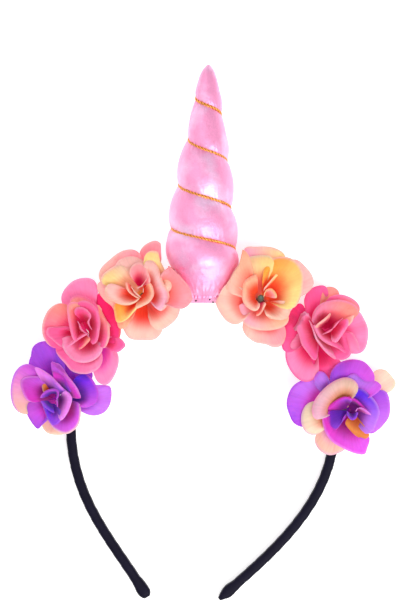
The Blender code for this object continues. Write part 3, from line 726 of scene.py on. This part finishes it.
def tinted(tree, colour, amount, low, high):
    """The colour, made darker and lighter between low and high by an amount from 0 to 1."""
    ramp = add_node(tree, "ShaderNodeMapRange", Value=amount, To_Min=low, To_Max=high)
    scale = add_node(tree, "ShaderNodeVectorMath", {"operation": "SCALE"}, Scale=ramp.outputs["Result"])
    if isinstance(colour, bpy.types.NodeSocket):
        tree.links.new(colour, scale.inputs["Vector"])
    else:
        scale.inputs["Vector"].default_value = colour
    return scale.outputs["Vector"]


def grained_finish(name, roughness, colour, shades, grains, bump):
    """A plain material whose colour and surface vary with one fine grain."""
    finish, tree, shader = new_finish(name, roughness)
    fine = grain(tree, object_place(tree), *grains)
    tree.links.new(tinted(tree, colour, fine, *shades), shader.inputs["Base Color"])
    add_bump(tree, shader, (fine, *bump))
    return finish


def arm_curve(arm):
    """The control points of the two curves from the crown to an arm's widest point and on to its tip."""
    crown = Vector(BAND_CROWN)
    widest = Vector(arm.widest)
    tip = Vector(arm.tip)
    angle = math.radians(arm.tip_angle)
    along_crown = Vector(((widest.x - crown.x) * CIRCLE_HANDLE, 0))
    up_to_crown = Vector((0, (crown.y - widest.y) * CIRCLE_HANDLE))
    upper = (crown, crown + along_crown, widest + up_to_crown, widest)
    down = Vector((0, -arm.widest_handle))
    from_tip = Vector((math.cos(angle), math.sin(angle))) * arm.tip_handle
    lower = (widest, widest + down, tip + from_tip, tip)
    return upper, lower


def even_path(points, count):
    """This many points at equal distances along the path, with their distance from its start."""
    distances = [0.0]
    for before, after in zip(points, points[1:]):
        distances.append(distances[-1] + (after - before).length)
    path = []
    i = 0
    for k in range(count):
        place = distances[-1] * k / (count - 1)
        while i < len(points) - 2 and distances[i + 1] < place:
            i += 1
        share = (place - distances[i]) / (distances[i + 1] - distances[i])
        path.append((points[i].lerp(points[i + 1], share), place))
    return path


def band_path():
    """The band's centre line from its left tip over the crown to its right tip."""
    halves = []
    for arm in (LEFT_ARM, RIGHT_ARM):
        upper, lower = arm_curve(arm)
        halves.append(interpolate_bezier(*upper, ARM_POINTS) + interpolate_bezier(*lower, ARM_POINTS)[1:])
    return even_path(halves[0][::-1] + halves[1][1:], BAND_ROWS)


def satin_finish(settings):
    """Black satin ribbon: fine ribs across it and a soft, broad gloss."""
    finish, tree, shader = new_finish("black_satin", 0.5)
    shader.inputs["Specular IOR Level"].default_value = 0.08
    place = object_place(tree)
    cloud = grain(tree, place, 160.0, 3.0)
    weave = grain(tree, place, 2600.0, 1.0)
    tree.links.new(tinted(tree, tuple(settings.colour), cloud, 0.6, 1.5), shader.inputs["Base Color"])
    add_bump(tree, shader, (weave, 0.5, 0.0001), (cloud, 0.35, 0.0006))
    return finish


def make_ribbon(settings):
    """The band in its ribbon: a flat strip with round edges, each turn of the ribbon lapped over the last."""
    path = band_path()
    length = path[-1][1]
    bm = bmesh.new()
    for vert, row, turn in rows_and_turns(bm, BAND_COLUMNS, len(path)):
        k = max(0, min(len(path) - 1, row - 1))
        centre, place = path[k]
        along = path[min(k + 1, len(path) - 1)][0] - path[max(k - 1, 0)][0]
        across = Vector((-along.y, along.x)).normalized()
        thickness = (BAND_THICKNESS + 2 * RIBBON_THICKNESS) * smooth(LEFT_TIP_THICKNESS, place)
        thickness *= smooth(RIGHT_TIP_THICKNESS, length - place)
        from_end = min(place, length - place)
        rounding = math.sqrt(1 - (1 - min(1, from_end / BAND_TIP_ROUNDING)) ** 2)
        depth = BAND_DEPTH * (BAND_TIP_DEPTH + (1 - BAND_TIP_DEPTH) * rounding)
        if row in (0, len(path) + 1):
            thickness = 0
            depth = 0
        power = 2 / BAND_SQUARENESS
        side = math.copysign(abs(math.cos(turn)) ** power, math.cos(turn)) * thickness / 2
        level = math.copysign(abs(math.sin(turn)) ** power, math.sin(turn)) * depth / 2
        lap = (place * MM / settings.pitch + turn / (2 * math.pi)) % 1
        over = lap * min(1, (1 - lap) * LAP_EDGE) - 0.5
        proud = 1 + settings.step / MM * over / (BAND_THICKNESS / 2)
        plan = centre + across * side * proud
        vert.co = (plan.x, plan.y, BAND_DEPTH / 2 + level)
    bmesh.ops.recalc_face_normals(bm, faces=bm.faces)
    return piece_from(bm, "ribbon_band", satin_finish(settings), ("wrapped_band",))


def horn_axis(height):
    """The point of the horn's axis at this height above its foot."""
    share = height / HORN_HEIGHT
    x = HORN_FOOT[0] + (HORN_TIP[0] - HORN_FOOT[0]) * share - smooth(HORN_BOW, height)
    y = HORN_FOOT[1] + (HORN_TIP[1] - HORN_FOOT[1]) * share
    return Vector((x, y, HORN_AXIS_LEVEL))


def cord_half_turns(height):
    """How many half turns the cord has made where it comes down to this height."""
    return smooth([(level, turns) for turns, level in reversed(CORD_HEIGHTS)], height)


def groove(height, angle):
    """From 0 on the fullest line of a puff to 1 in the cord's groove, at an angle from the left side."""
    phase = (cord_half_turns(height) - angle / math.pi) / 2 % 1
    fullness = math.sin(math.pi * phase) ** GROOVE_FULLNESS
    below_start = (CORD_HEIGHTS[0][1] + GROOVE_FADE - height) / GROOVE_FADE
    above_end = (height - CORD_HEIGHTS[-1][1] + GROOVE_FADE) / GROOVE_FADE
    fade = max(0.0, min(1.0, below_start, above_end))
    return (1 - fullness) * fade


def around_horn(height, angle, radius):
    """The point at this angle round the horn, from its left side over its front."""
    side = Vector((-math.cos(angle), 0, math.sin(angle)))
    return horn_axis(height) + side * radius


def metallic_fabric_finish(settings):
    """Foil-printed fabric: pearly pink and lilac with fine crinkles and broken, broad highlights."""
    finish, tree, shader = new_finish("metallic_pink_fabric", 0.4, 0.5, Coat_Weight=0.65, Coat_Roughness=0.42)
    place = object_place(tree)
    cloud = grain(tree, place, 70.0, 4.0)
    crinkle = grain(tree, place, 420.0, 5.0, Roughness=0.7)
    speckle = grain(tree, place, 1500.0, 2.0, Roughness=0.8)
    patches = add_node(tree, "ShaderNodeMapRange", Value=cloud, From_Min=0.46, From_Max=0.66)
    pearl = add_node(tree, "ShaderNodeMix", {"data_type": "RGBA"})
    tree.links.new(patches.outputs["Result"], pearl.inputs["Factor"])
    pearl.inputs["A"].default_value = (*settings.colour, 1.0)
    pearl.inputs["B"].default_value = (*settings.pearl, 1.0)
    tree.links.new(tinted(tree, pearl.outputs["Result"], speckle, 0.84, 1.16), shader.inputs["Base Color"])
    rough = add_node(tree, "ShaderNodeMapRange", Value=speckle, To_Min=0.28, To_Max=0.62)
    tree.links.new(rough.outputs["Result"], shader.inputs["Roughness"])
    add_bump(tree, shader, (speckle, 0.5, 0.0002), (crinkle, 0.6, 0.0005), (cloud, 0.4, 0.0012))
    return finish


def noise_round(angle, height, across, along):
    """Smooth noise round the horn, so many times as fine as its radius and as a millimetre of its height."""
    return noise.noise(Vector((math.cos(angle) * across, math.sin(angle) * across, height * along)))


def drawn_in_radius(height, drawn_in):
    """The horn's radius at this height, where the cord draws it in by a share from 0 to 1 of its groove."""
    return smooth(HORN_RADIUS, height) * (1 - smooth(GROOVE_DEPTH, height) * drawn_in)


def horn_surface(height, angle, settings):
    """A point of the horn's fabric: puffed between the turns of the cord, puckered beside it."""
    drawn_in = groove(height, angle)
    radius = drawn_in_radius(height, drawn_in)
    wander = noise_round(angle, height, 6, 0.16)
    pucker = math.sin(angle * PUCKERS + height * PUCKER_SLANT + wander * PUCKER_WANDER)
    radius += settings.pucker / MM * drawn_in * pucker
    radius += settings.crease / MM * noise_round(angle, height, 1.6, 0.11) * min(1, radius / 6)
    radius -= HEM_CREASE * math.exp(-(((height - HEM_HEIGHT) / HEM_CREASE_WIDTH) ** 2))
    near_hem = 1 - eased(height, HEM_HEIGHT, HEM_HEIGHT + HEM_PLEAT_FADE)
    pleat = math.sin(angle * HEM_PLEATS + wander * HEM_PLEAT_WANDER)
    radius += HEM_PLEAT_DEPTH * near_hem * pleat * eased(height, 0, HEM_PLEAT_RISE)
    point = around_horn(height, angle, radius)
    if height < HORN_LIP_TOP:
        point.z = max(point.z, BAND_DEPTH + SEAT_GAP)
    return point


def make_horn(settings):
    """The stuffed horn, in place of its solid."""
    bm = bmesh.new()
    for vert, row, turn in rows_and_turns(bm, HORN_COLUMNS, HORN_ROWS):
        if row == 0:
            vert.co = horn_axis(0) + Vector((0, 0, 1))
        elif row > HORN_ROWS:
            vert.co = horn_axis(HORN_HEIGHT)
        else:
            height = HORN_LAST_ROW * (row - 1) / (HORN_ROWS - 1)
            vert.co = horn_surface(height, turn, settings)
    bmesh.ops.recalc_face_normals(bm, faces=bm.faces)
    horn = piece_from(bm, "stuffed_horn", metallic_fabric_finish(settings), ("horn",))
    return horn


def gold_thread_finish(settings):
    """Metallic thread: orange gold, ribbed by its fine winding, with painted shade in the crevices between its
    strands and painted light on their outer sides.
    """
    finish, tree, shader = new_finish("gold_thread", 0.38, 0.7)
    place = object_place(tree)
    fibre = grain(tree, place, 3200.0, 2.0)
    cloud = grain(tree, place, 700.0, 2.0)
    # Painted shade: the crease layer darkens each strand where it faces into the cord and lightens it where it
    # faces out.
    crease = add_node(tree, "ShaderNodeAttribute", {"attribute_name": "crease"})
    colour = tinted(tree, tuple(settings.colour), cloud, 0.6, 1.5)
    shaded = tinted(tree, colour, crease.outputs["Fac"], 1.25, 0.12)
    tree.links.new(shaded, shader.inputs["Base Color"])
    add_bump(tree, shader, (fibre, 0.6, 0.00008))
    return finish


def cord_path():
    """Points close together along the cord, from its upper end round the horn to its lower end."""
    first = CORD_HEIGHTS[0][0]
    last = CORD_HEIGHTS[-1][0]
    points = []
    for i in range(CORD_POINTS):
        turns = first + (last - first) * i / (CORD_POINTS - 1)
        height = smooth(CORD_HEIGHTS, turns)
        radius = drawn_in_radius(height, groove(height, math.pi * turns))
        radius += CORD_DIAMETER / 2 - CORD_SUNK
        points.append(around_horn(height, math.pi * turns, radius))
    return points


def make_cord(settings):
    """The cord: strands twisted round each other, in place of the plain tube."""
    points = cord_path()
    length = sum((after - before).length for before, after in zip(points, points[1:]))
    rows = round(length / CORD_ROW_SPACING)
    path = even_path(points, rows)
    spread = CORD_DIAMETER / 2 - STRAND_RADIUS
    bm = bmesh.new()
    # The crease layer holds painted shade: 1 on the side of a strand that faces into the cord, 0 on the side
    # facing out.
    crease = bm.verts.layers.float_color.new("crease")
    for strand in range(settings.strands):
        start = 2 * math.pi * strand / settings.strands
        for vert, row, turn in rows_and_turns(bm, STRAND_COLUMNS, rows):
            k = max(0, min(rows - 1, row - 1))
            centre, place = path[k]
            along = (path[min(k + 1, rows - 1)][0] - path[max(k - 1, 0)][0]).normalized()
            outwards = (centre - horn_axis(centre.y - HORN_FOOT[1])).normalized()
            side = along.cross(outwards).normalized()
            outwards = side.cross(along)
            twist = start + 2 * math.pi * place * MM / settings.twist
            middle = centre + (outwards * math.cos(twist) + side * math.sin(twist)) * spread
            radius = 0 if row in (0, rows + 1) else STRAND_RADIUS
            vert.co = middle + (outwards * math.cos(turn) + side * math.sin(turn)) * radius
            # Painted shade, from the side of the strand that faces out of the cord to the side that faces in.
            painted_crevice_shade = 1 - eased(math.cos(turn - twist), -0.5, 0.75)
            vert[crease] = (painted_crevice_shade, painted_crevice_shade, painted_crevice_shade, 1.0)
    bmesh.ops.recalc_face_normals(bm, faces=bm.faces)
    return piece_from(bm, "twisted_cord", gold_thread_finish(settings), ("spiral_cord",))


def front_of_horn(x, y, settings):
    """How high the front of the horn lies at this place."""
    height = y - HORN_FOOT[1]
    offset = x - horn_axis(height).x
    radius = smooth(HORN_RADIUS, height)
    angle = math.acos(max(-1, min(1, -offset / radius)))
    return horn_surface(max(height, 0.1), angle, settings).z


def make_stitches(settings):
    """The stitches that hold the horn's lip to the band."""
    bm = bmesh.new()
    for stitch in STITCHES:
        level = front_of_horn(stitch.x, stitch.y, settings)
        way = Vector((math.cos(math.radians(stitch.angle)), math.sin(math.radians(stitch.angle)), 0))
        for vert, row, turn in rows_and_turns(bm, STITCH_COLUMNS, STITCH_ROWS):
            t = row / (STITCH_ROWS + 1)
            bulge = math.sqrt(max(0.0, 1 - (2 * t - 1) ** 4)) * STITCH_RADIUS
            centre = Vector((stitch.x, stitch.y, level + STITCH_LIFT)) + way * (t - 0.5) * stitch.length
            centre.z += STITCH_ARCH * math.sin(math.pi * t)
            across = Vector((-way.y, way.x, 0))
            vert.co = centre + across * math.cos(turn) * bulge + Vector((0, 0, math.sin(turn) * bulge))
    bmesh.ops.recalc_face_normals(bm, faces=bm.faces)
    black = (0.012, 0.01, 0.014)
    thread = grained_finish("black_thread", 0.6, black, (0.5, 2.0), (2500.0, 2.0), (0.5, 0.0001))
    return piece_from(bm, "black_stitches", thread)


def out_of_horn(point, spare):
    """The point, moved out of the horn to this distance from it where it lies nearer."""
    height = point.y - HORN_FOOT[1]
    if not HORN_RADIUS[0][0] < height < HORN_RADIUS[-1][0]:
        return point
    axis = horn_axis(height)
    side = Vector((point.x - axis.x, 0, point.z - axis.z))
    least = smooth(HORN_RADIUS, height) + CORD_DIAMETER + spare
    if side.length >= least:
        return point
    return Vector((axis.x, point.y, axis.z)) + side.normalized() * least


def lean_of(rose):
    """How far the rose leans outwards for each millimetre of height, and the way it leans."""
    offset = Vector(rose.face) - Vector(rose.seat)
    return offset / FACE_HEIGHT, offset.normalized()


def rose_to_model(rose, flat, height):
    """A point of the rose's own upright shape, sheared the way that the rose leans."""
    lean, outwards = lean_of(rose)
    plan = Vector(rose.seat) + lean * height + flat
    return Vector((plan.x, plan.y, BAND_DEPTH + height - ROSE_DROOP * flat.dot(outwards)))


def model_to_rose(rose, point):
    """The plan and the height, in the rose's own upright shape, of a point of the model."""
    lean, outwards = lean_of(rose)
    offset = point.xy - Vector(rose.seat)
    height = point.z - BAND_DEPTH + ROSE_DROOP * offset.dot(outwards)
    height /= 1 + ROSE_DROOP * lean.length
    return offset - lean * height, height


def under_roses(point, rose, spare):
    """The point, moved under the outer petals of each rose that lies over this one."""
    for name in UPPER_ROSES.get(rose.name, ()):
        upper = next(other for other in ROSES if other.name == name)
        flat, height = model_to_rose(upper, point)
        share = (flat.length - PETAL_ROOT) / (UPPER_REACH - PETAL_ROOT)
        if not 0 < share < UPPER_EDGE:
            continue
        ceiling = LAYERS["outer_petals"].level + UPPER_RISE * share**UPPER_CURVE - UPPER_GAP - spare
        if height > ceiling:
            point = rose_to_model(upper, flat, ceiling)
    return point


def turned_over(outwards, layer):
    """How high a petal stands, from 0 at its root to 1 at its shoulder and less again at its rim."""
    if outwards < layer.shoulder:
        return eased(outwards, 0, layer.shoulder)
    past = (outwards - layer.shoulder) / (1 - layer.shoulder)
    return 1 - layer.fall * past**2


def photo_to_model(place):
    """The plan, in the model frame, of a place in the photograph's pixels."""
    return Vector(((place[0] - PHOTO_MIDDLE[0]) * PIXEL, (PHOTO_MIDDLE[1] - place[1]) * PIXEL))


def rim_of(petal):
    """Points at equal distances along a petal's rim: each with its height and its distance from the start."""
    corners = [photo_to_model(place) for place in petal.rim]
    places = [0.0]
    for before, after in zip(corners, corners[1:]):
        places.append(places[-1] + (after - before).length)
    across = [(place, corner.x) for place, corner in zip(places, corners)]
    along = [(place, corner.y) for place, corner in zip(places, corners)]
    rim = []
    for k in range(GRID_ACROSS + 1):
        share = k / GRID_ACROSS
        place = places[-1] * share
        height = petal.heights[0] + (petal.heights[1] - petal.heights[0]) * share
        rim.append((Vector((smooth(across, place), smooth(along, place))), height, place))
    return rim


def petal_point(rose, layer, seed, rim, column, outwards, settings):
    """A point of the petal's middle surface, and how far it lies from the rim."""
    edge, rim_height, place = rim[column]
    across = 2 * column / GRID_ACROSS - 1
    outwards *= (1 - abs(across * ROUNDED_WIDTH) ** layer.corners) ** (1 / layer.corners)
    lean = lean_of(rose)[0]
    on_peg = Vector(rose.seat) + lean * layer.level
    centre = on_peg.lerp(photo_to_model(rose.eye), layer.to_eye)
    main = rim[GRID_ACROSS // 2][0] - centre
    root = centre + (edge - centre + main * ROOT_TURN).normalized() * PETAL_ROOT
    plan = root.lerp(edge, outwards)
    from_rim = (1 - outwards) * (edge - root).length
    height = layer.level + (rim_height - layer.level) * turned_over(outwards, layer)
    wave = noise.noise(Vector((place / RUFFLE_SPACING, seed * 7.3, 0)))
    height += settings.ruffle / MM * wave * RUFFLE_GAIN * outwards**3
    height += settings.tuck / MM * across * outwards
    soft = noise.noise(Vector((plan.x / DENT_SPACING, plan.y / DENT_SPACING, seed * 1.7)))
    height += settings.dent / MM * soft * DENT_GAIN * outwards
    height -= LIP_ROLL * (1 - eased(from_rim, 0, LIP_WIDTH)) ** 2
    point = rose_to_model(rose, plan - Vector(rose.seat) - lean * height, height)
    if outwards > 0:
        point = under_roses(point, rose, layer.spare)
        point = out_of_horn(point, layer.spare)
    return point, from_rim


def petal_colour(petal, layer, column, outwards, from_rim):
    """The colour at a place of the petal: deep at its base, partly dye and partly painted shade under the
    petals over it, lighter at its edge, with a lip of its own, partly dye and partly a painted highlight on its
    rolled rim.
    """
    edge = linear(petal.edge_start).lerp(linear(petal.edge_end), eased(column / GRID_ACROSS, 0.1, 0.9))
    # Painted shade: the deep base colour reaches out to where the petals that lie over this one shade it.
    colour = linear(petal.base).lerp(edge, eased(outwards, layer.deep, layer.pale))
    plain = eased(from_rim, LIP_WIDTH * 0.2, LIP_WIDTH)
    # Painted highlight, partly dye: the lip colour runs along the rolled rim, where it catches light.
    return linear(petal.lip).lerp(colour, 1 - LIP_DYE_AND_HIGHLIGHT + LIP_DYE_AND_HIGHLIGHT * plain)


def petal_fabric_finish(slot):
    """Dyed petal fabric: a fine weave, streaks along the petal, a soft sheen and a faint painted glow in its
    colour.
    """
    sheen = {"Sheen_Weight": 0.15, "Sheen_Roughness": 0.5, "Specular_IOR_Level": 0.25}
    glow = {"Subsurface_Weight": 0.5, "Subsurface_Scale": 0.004, "Subsurface_Radius": (1.0, 0.35, 0.5)}
    # The emission is painted light: the petals glow faintly, so their shade stays bright and coloured.
    finish, tree, shader = new_finish(f"{slot}_petals", 0.8, **sheen, **glow, Emission_Strength=0.16)
    dye_and_painted_light = add_node(tree, "ShaderNodeAttribute", {"attribute_name": "dye_and_painted_light"}).outputs["Color"]
    place = add_node(tree, "ShaderNodeUVMap", {"uv_map": "petal"}).outputs["UV"]
    lengthwise = add_node(tree, "ShaderNodeMapping", Vector=place, Scale=(0.9, 0.12, 1.0))
    crosswise = add_node(tree, "ShaderNodeMapping", Vector=place, Rotation=(0, 0, math.pi / 2))
    streak = grain(tree, lengthwise.outputs["Vector"], 1.0, 4.0)
    threads = [
        add_node(tree, "ShaderNodeTexWave", Vector=way, Scale=0.6, Distortion=1.5).outputs["Fac"]
        for way in (place, crosswise.outputs["Vector"])
    ]
    colour = tinted(tree, dye_and_painted_light, streak, 0.7, 0.94)
    tree.links.new(colour, shader.inputs["Base Color"])
    # Painted light: the glow takes the petal's own colour.
    tree.links.new(colour, shader.inputs["Emission Color"])
    weave = [(thread, 0.25, 0.00006) for thread in threads]
    add_bump(tree, shader, *weave, (streak, 0.35, 0.0005))
    return finish


def add_petal(bm, rose, layer, petal, seed, settings):
    """Adds one petal to the layer: a grid on its surface, its dye with painted light, and its cloth
    coordinates.
    """
    dye_and_painted_light = bm.verts.layers.float_color["dye_and_painted_light"]
    cloth = bm.loops.layers.uv["petal"]
    made = bmesh.ops.create_grid(bm, x_segments=GRID_ACROSS, y_segments=GRID_OUTWARDS, size=1)
    rim = rim_of(petal)
    places = {}
    for vert in made["verts"]:
        column = round((vert.co.x + 1) / 2 * GRID_ACROSS)
        outwards = 1 - (1 - (vert.co.y + 1) / 2) ** GRID_CROWDING
        vert.co, from_rim = petal_point(rose, layer, seed, rim, column, outwards, settings)
        vert[dye_and_painted_light] = (*petal_colour(petal, layer, column, outwards, from_rim), 1.0)
        places[vert] = (rim[column][2] + seed * CLOTH_SPACING, -from_rim)
    for face in {face for vert in made["verts"] for face in vert.link_faces}:
        for corner in face.loops:
            corner[cloth].uv = places[corner.vert]


def make_layer(rose, layer_name, first_seed, finish, settings):
    """All the petals of one layer of a rose, in place of its solid."""
    bm = bmesh.new()
    bm.verts.layers.float_color.new("dye_and_painted_light")
    bm.loops.layers.uv.new("petal")
    for seed, petal in enumerate(PETALS[rose.name, layer_name], first_seed):
        add_petal(bm, rose, LAYERS[layer_name], petal, seed, settings)
    node = f"{rose.name}_{layer_name}"
    piece = piece_from(bm, f"{node}_cloth", finish, (node,))
    wall = piece.modifiers.new("cloth thickness", "SOLIDIFY")
    wall.thickness = settings.thickness
    wall.offset = 0.0


def make_roses(settings):
    """Every layer of every rose, and the finish of the pegs that carry them."""
    finishes = {slot: petal_fabric_finish(slot) for slot in sorted({rose.slot for rose in ROSES})}
    green = (0.06, 0.085, 0.06)
    plastic = grained_finish("green_plastic", 0.5, green, (0.7, 1.4), (900.0, 3.0), (0.3, 0.0002))
    for number, rose in enumerate(ROSES):
        seed = number * SEEDS_TO_A_ROSE
        for layer_name in LAYERS:
            if (rose.name, layer_name) in PETALS:
                make_layer(rose, layer_name, seed, finishes[rose.slot], settings)
                seed += len(PETALS[rose.name, layer_name])
        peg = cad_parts[f"{rose.name}_core"]
        peg.data.materials.clear()
        peg.data.materials.append(plastic)


def add_light(light, power):
    """A square soft light that looks at the middle of the headband."""
    lamp = bpy.data.lights.new(light.name, "AREA")
    lamp.energy = power
    lamp.size = light.size
    lamp.color = light.colour
    made = bpy.data.objects.new(light.name, lamp)
    made.location = light.place
    made.rotation_euler = (-Vector(light.place)).to_track_quat("-Z", "Y").to_euler()
    bpy.context.scene.collection.objects.link(made)


def make_stage(settings):
    """The pale floor, the soft lights, the bright surroundings and the camera."""
    bm = bmesh.new()
    bmesh.ops.create_grid(bm, x_segments=1, y_segments=1, size=FLOOR_HALF_WIDTH)
    bmesh.ops.translate(bm, vec=(0, 0, FLOOR_LEVEL), verts=bm.verts)
    finish, _, shader = new_finish("pale_floor", 0.8, Emission_Strength=FLOOR_GLOW)
    shader.inputs["Base Color"].default_value = (*settings.floor_colour, 1.0)
    shader.inputs["Emission Color"].default_value = (1.0, 1.0, 1.0, 1.0)
    object_from(bm, "floor", finish)

    scene = bpy.context.scene
    scene.world = bpy.data.worlds.new("bright surroundings")
    scene.world.use_nodes = True
    background = scene.world.node_tree.nodes["Background"]
    background.inputs["Color"].default_value = SURROUNDINGS_COLOUR
    background.inputs["Strength"].default_value = SURROUNDINGS_STRENGTH
    scene.view_settings.view_transform = "Standard"
    add_light(KEY_LIGHT, settings.key_power)
    add_light(FILL_LIGHT, settings.fill_power)

    camera = bpy.data.objects.new("camera", bpy.data.cameras.new("camera"))
    camera.data.sensor_width = CAMERA_SENSOR
    camera.data.lens = CAMERA_SENSOR * CAMERA_HEIGHT / PHOTO_HEIGHT
    camera.data.clip_end = CAMERA_REACH
    middle = model_shift()
    camera.location = (middle.x, middle.y, CAMERA_HEIGHT * MM)
    scene.collection.objects.link(camera)
    scene.camera = camera


class HEADBAND_OT_ribbon(bpy.types.Operator):
    """Builds the band in its wound ribbon"""

    bl_idname = "headband.ribbon"
    bl_label = "Ribbon Band"

    def execute(self, context):
        make_ribbon(context.scene.headband_ribbon)
        return {"FINISHED"}


class HEADBAND_OT_horn(bpy.types.Operator):
    """Builds the stuffed horn"""

    bl_idname = "headband.horn"
    bl_label = "Stuffed Horn"

    def execute(self, context):
        make_horn(context.scene.headband_horn)
        return {"FINISHED"}


class HEADBAND_OT_cord(bpy.types.Operator):
    """Builds the twisted cord round the horn"""

    bl_idname = "headband.cord"
    bl_label = "Twisted Cord"

    def execute(self, context):
        make_cord(context.scene.headband_cord)
        return {"FINISHED"}


class HEADBAND_OT_stitches(bpy.types.Operator):
    """Builds the stitches at the foot of the horn"""

    bl_idname = "headband.stitches"
    bl_label = "Stitches"

    def execute(self, context):
        make_stitches(context.scene.headband_horn)
        return {"FINISHED"}


class HEADBAND_OT_roses(bpy.types.Operator):
    """Builds the petals of the fabric roses"""

    bl_idname = "headband.roses"
    bl_label = "Fabric Roses"

    def execute(self, context):
        make_roses(context.scene.headband_roses)
        return {"FINISHED"}


class HEADBAND_OT_stage(bpy.types.Operator):
    """Builds the floor, lights and camera"""

    bl_idname = "headband.stage"
    bl_label = "Stage"

    def execute(self, context):
        make_stage(context.scene.headband_stage)
        return {"FINISHED"}


class HEADBAND_PT_panel(bpy.types.Panel):
    """Lists the headband's pieces and their settings"""

    bl_idname = "HEADBAND_PT_panel"
    bl_label = "Headband"
    bl_space_type = "VIEW_3D"
    bl_region_type = "UI"
    bl_category = "Headband"

    def draw(self, context):
        for operator in OPERATORS:
            self.layout.operator(operator.bl_idname)
        for name, group in SETTINGS.items():
            box = self.layout.box()
            for key in group.__annotations__:
                box.prop(getattr(context.scene, name), key)


SETTINGS = {
    "headband_ribbon": RibbonSettings,
    "headband_horn": HornSettings,
    "headband_cord": CordSettings,
    "headband_roses": RoseSettings,
    "headband_stage": StageSettings,
}
OPERATORS = (
    HEADBAND_OT_ribbon,
    HEADBAND_OT_horn,
    HEADBAND_OT_cord,
    HEADBAND_OT_stitches,
    HEADBAND_OT_roses,
    HEADBAND_OT_stage,
)


def register():
    for name, group in SETTINGS.items():
        bpy.utils.register_class(group)
        setattr(bpy.types.Scene, name, PointerProperty(type=group))
    for kind in (*OPERATORS, HEADBAND_PT_panel):
        bpy.utils.register_class(kind)


def unregister():
    for kind in (HEADBAND_PT_panel, *reversed(OPERATORS)):
        bpy.utils.unregister_class(kind)
    for name, group in SETTINGS.items():
        delattr(bpy.types.Scene, name)
        bpy.utils.unregister_class(group)


def main():
    register()
    bpy.ops.headband.ribbon()
    bpy.ops.headband.horn()
    bpy.ops.headband.cord()
    bpy.ops.headband.stitches()
    bpy.ops.headband.roses()
    bpy.ops.headband.stage()
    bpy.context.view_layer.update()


if __name__ == "__main__":
    main()
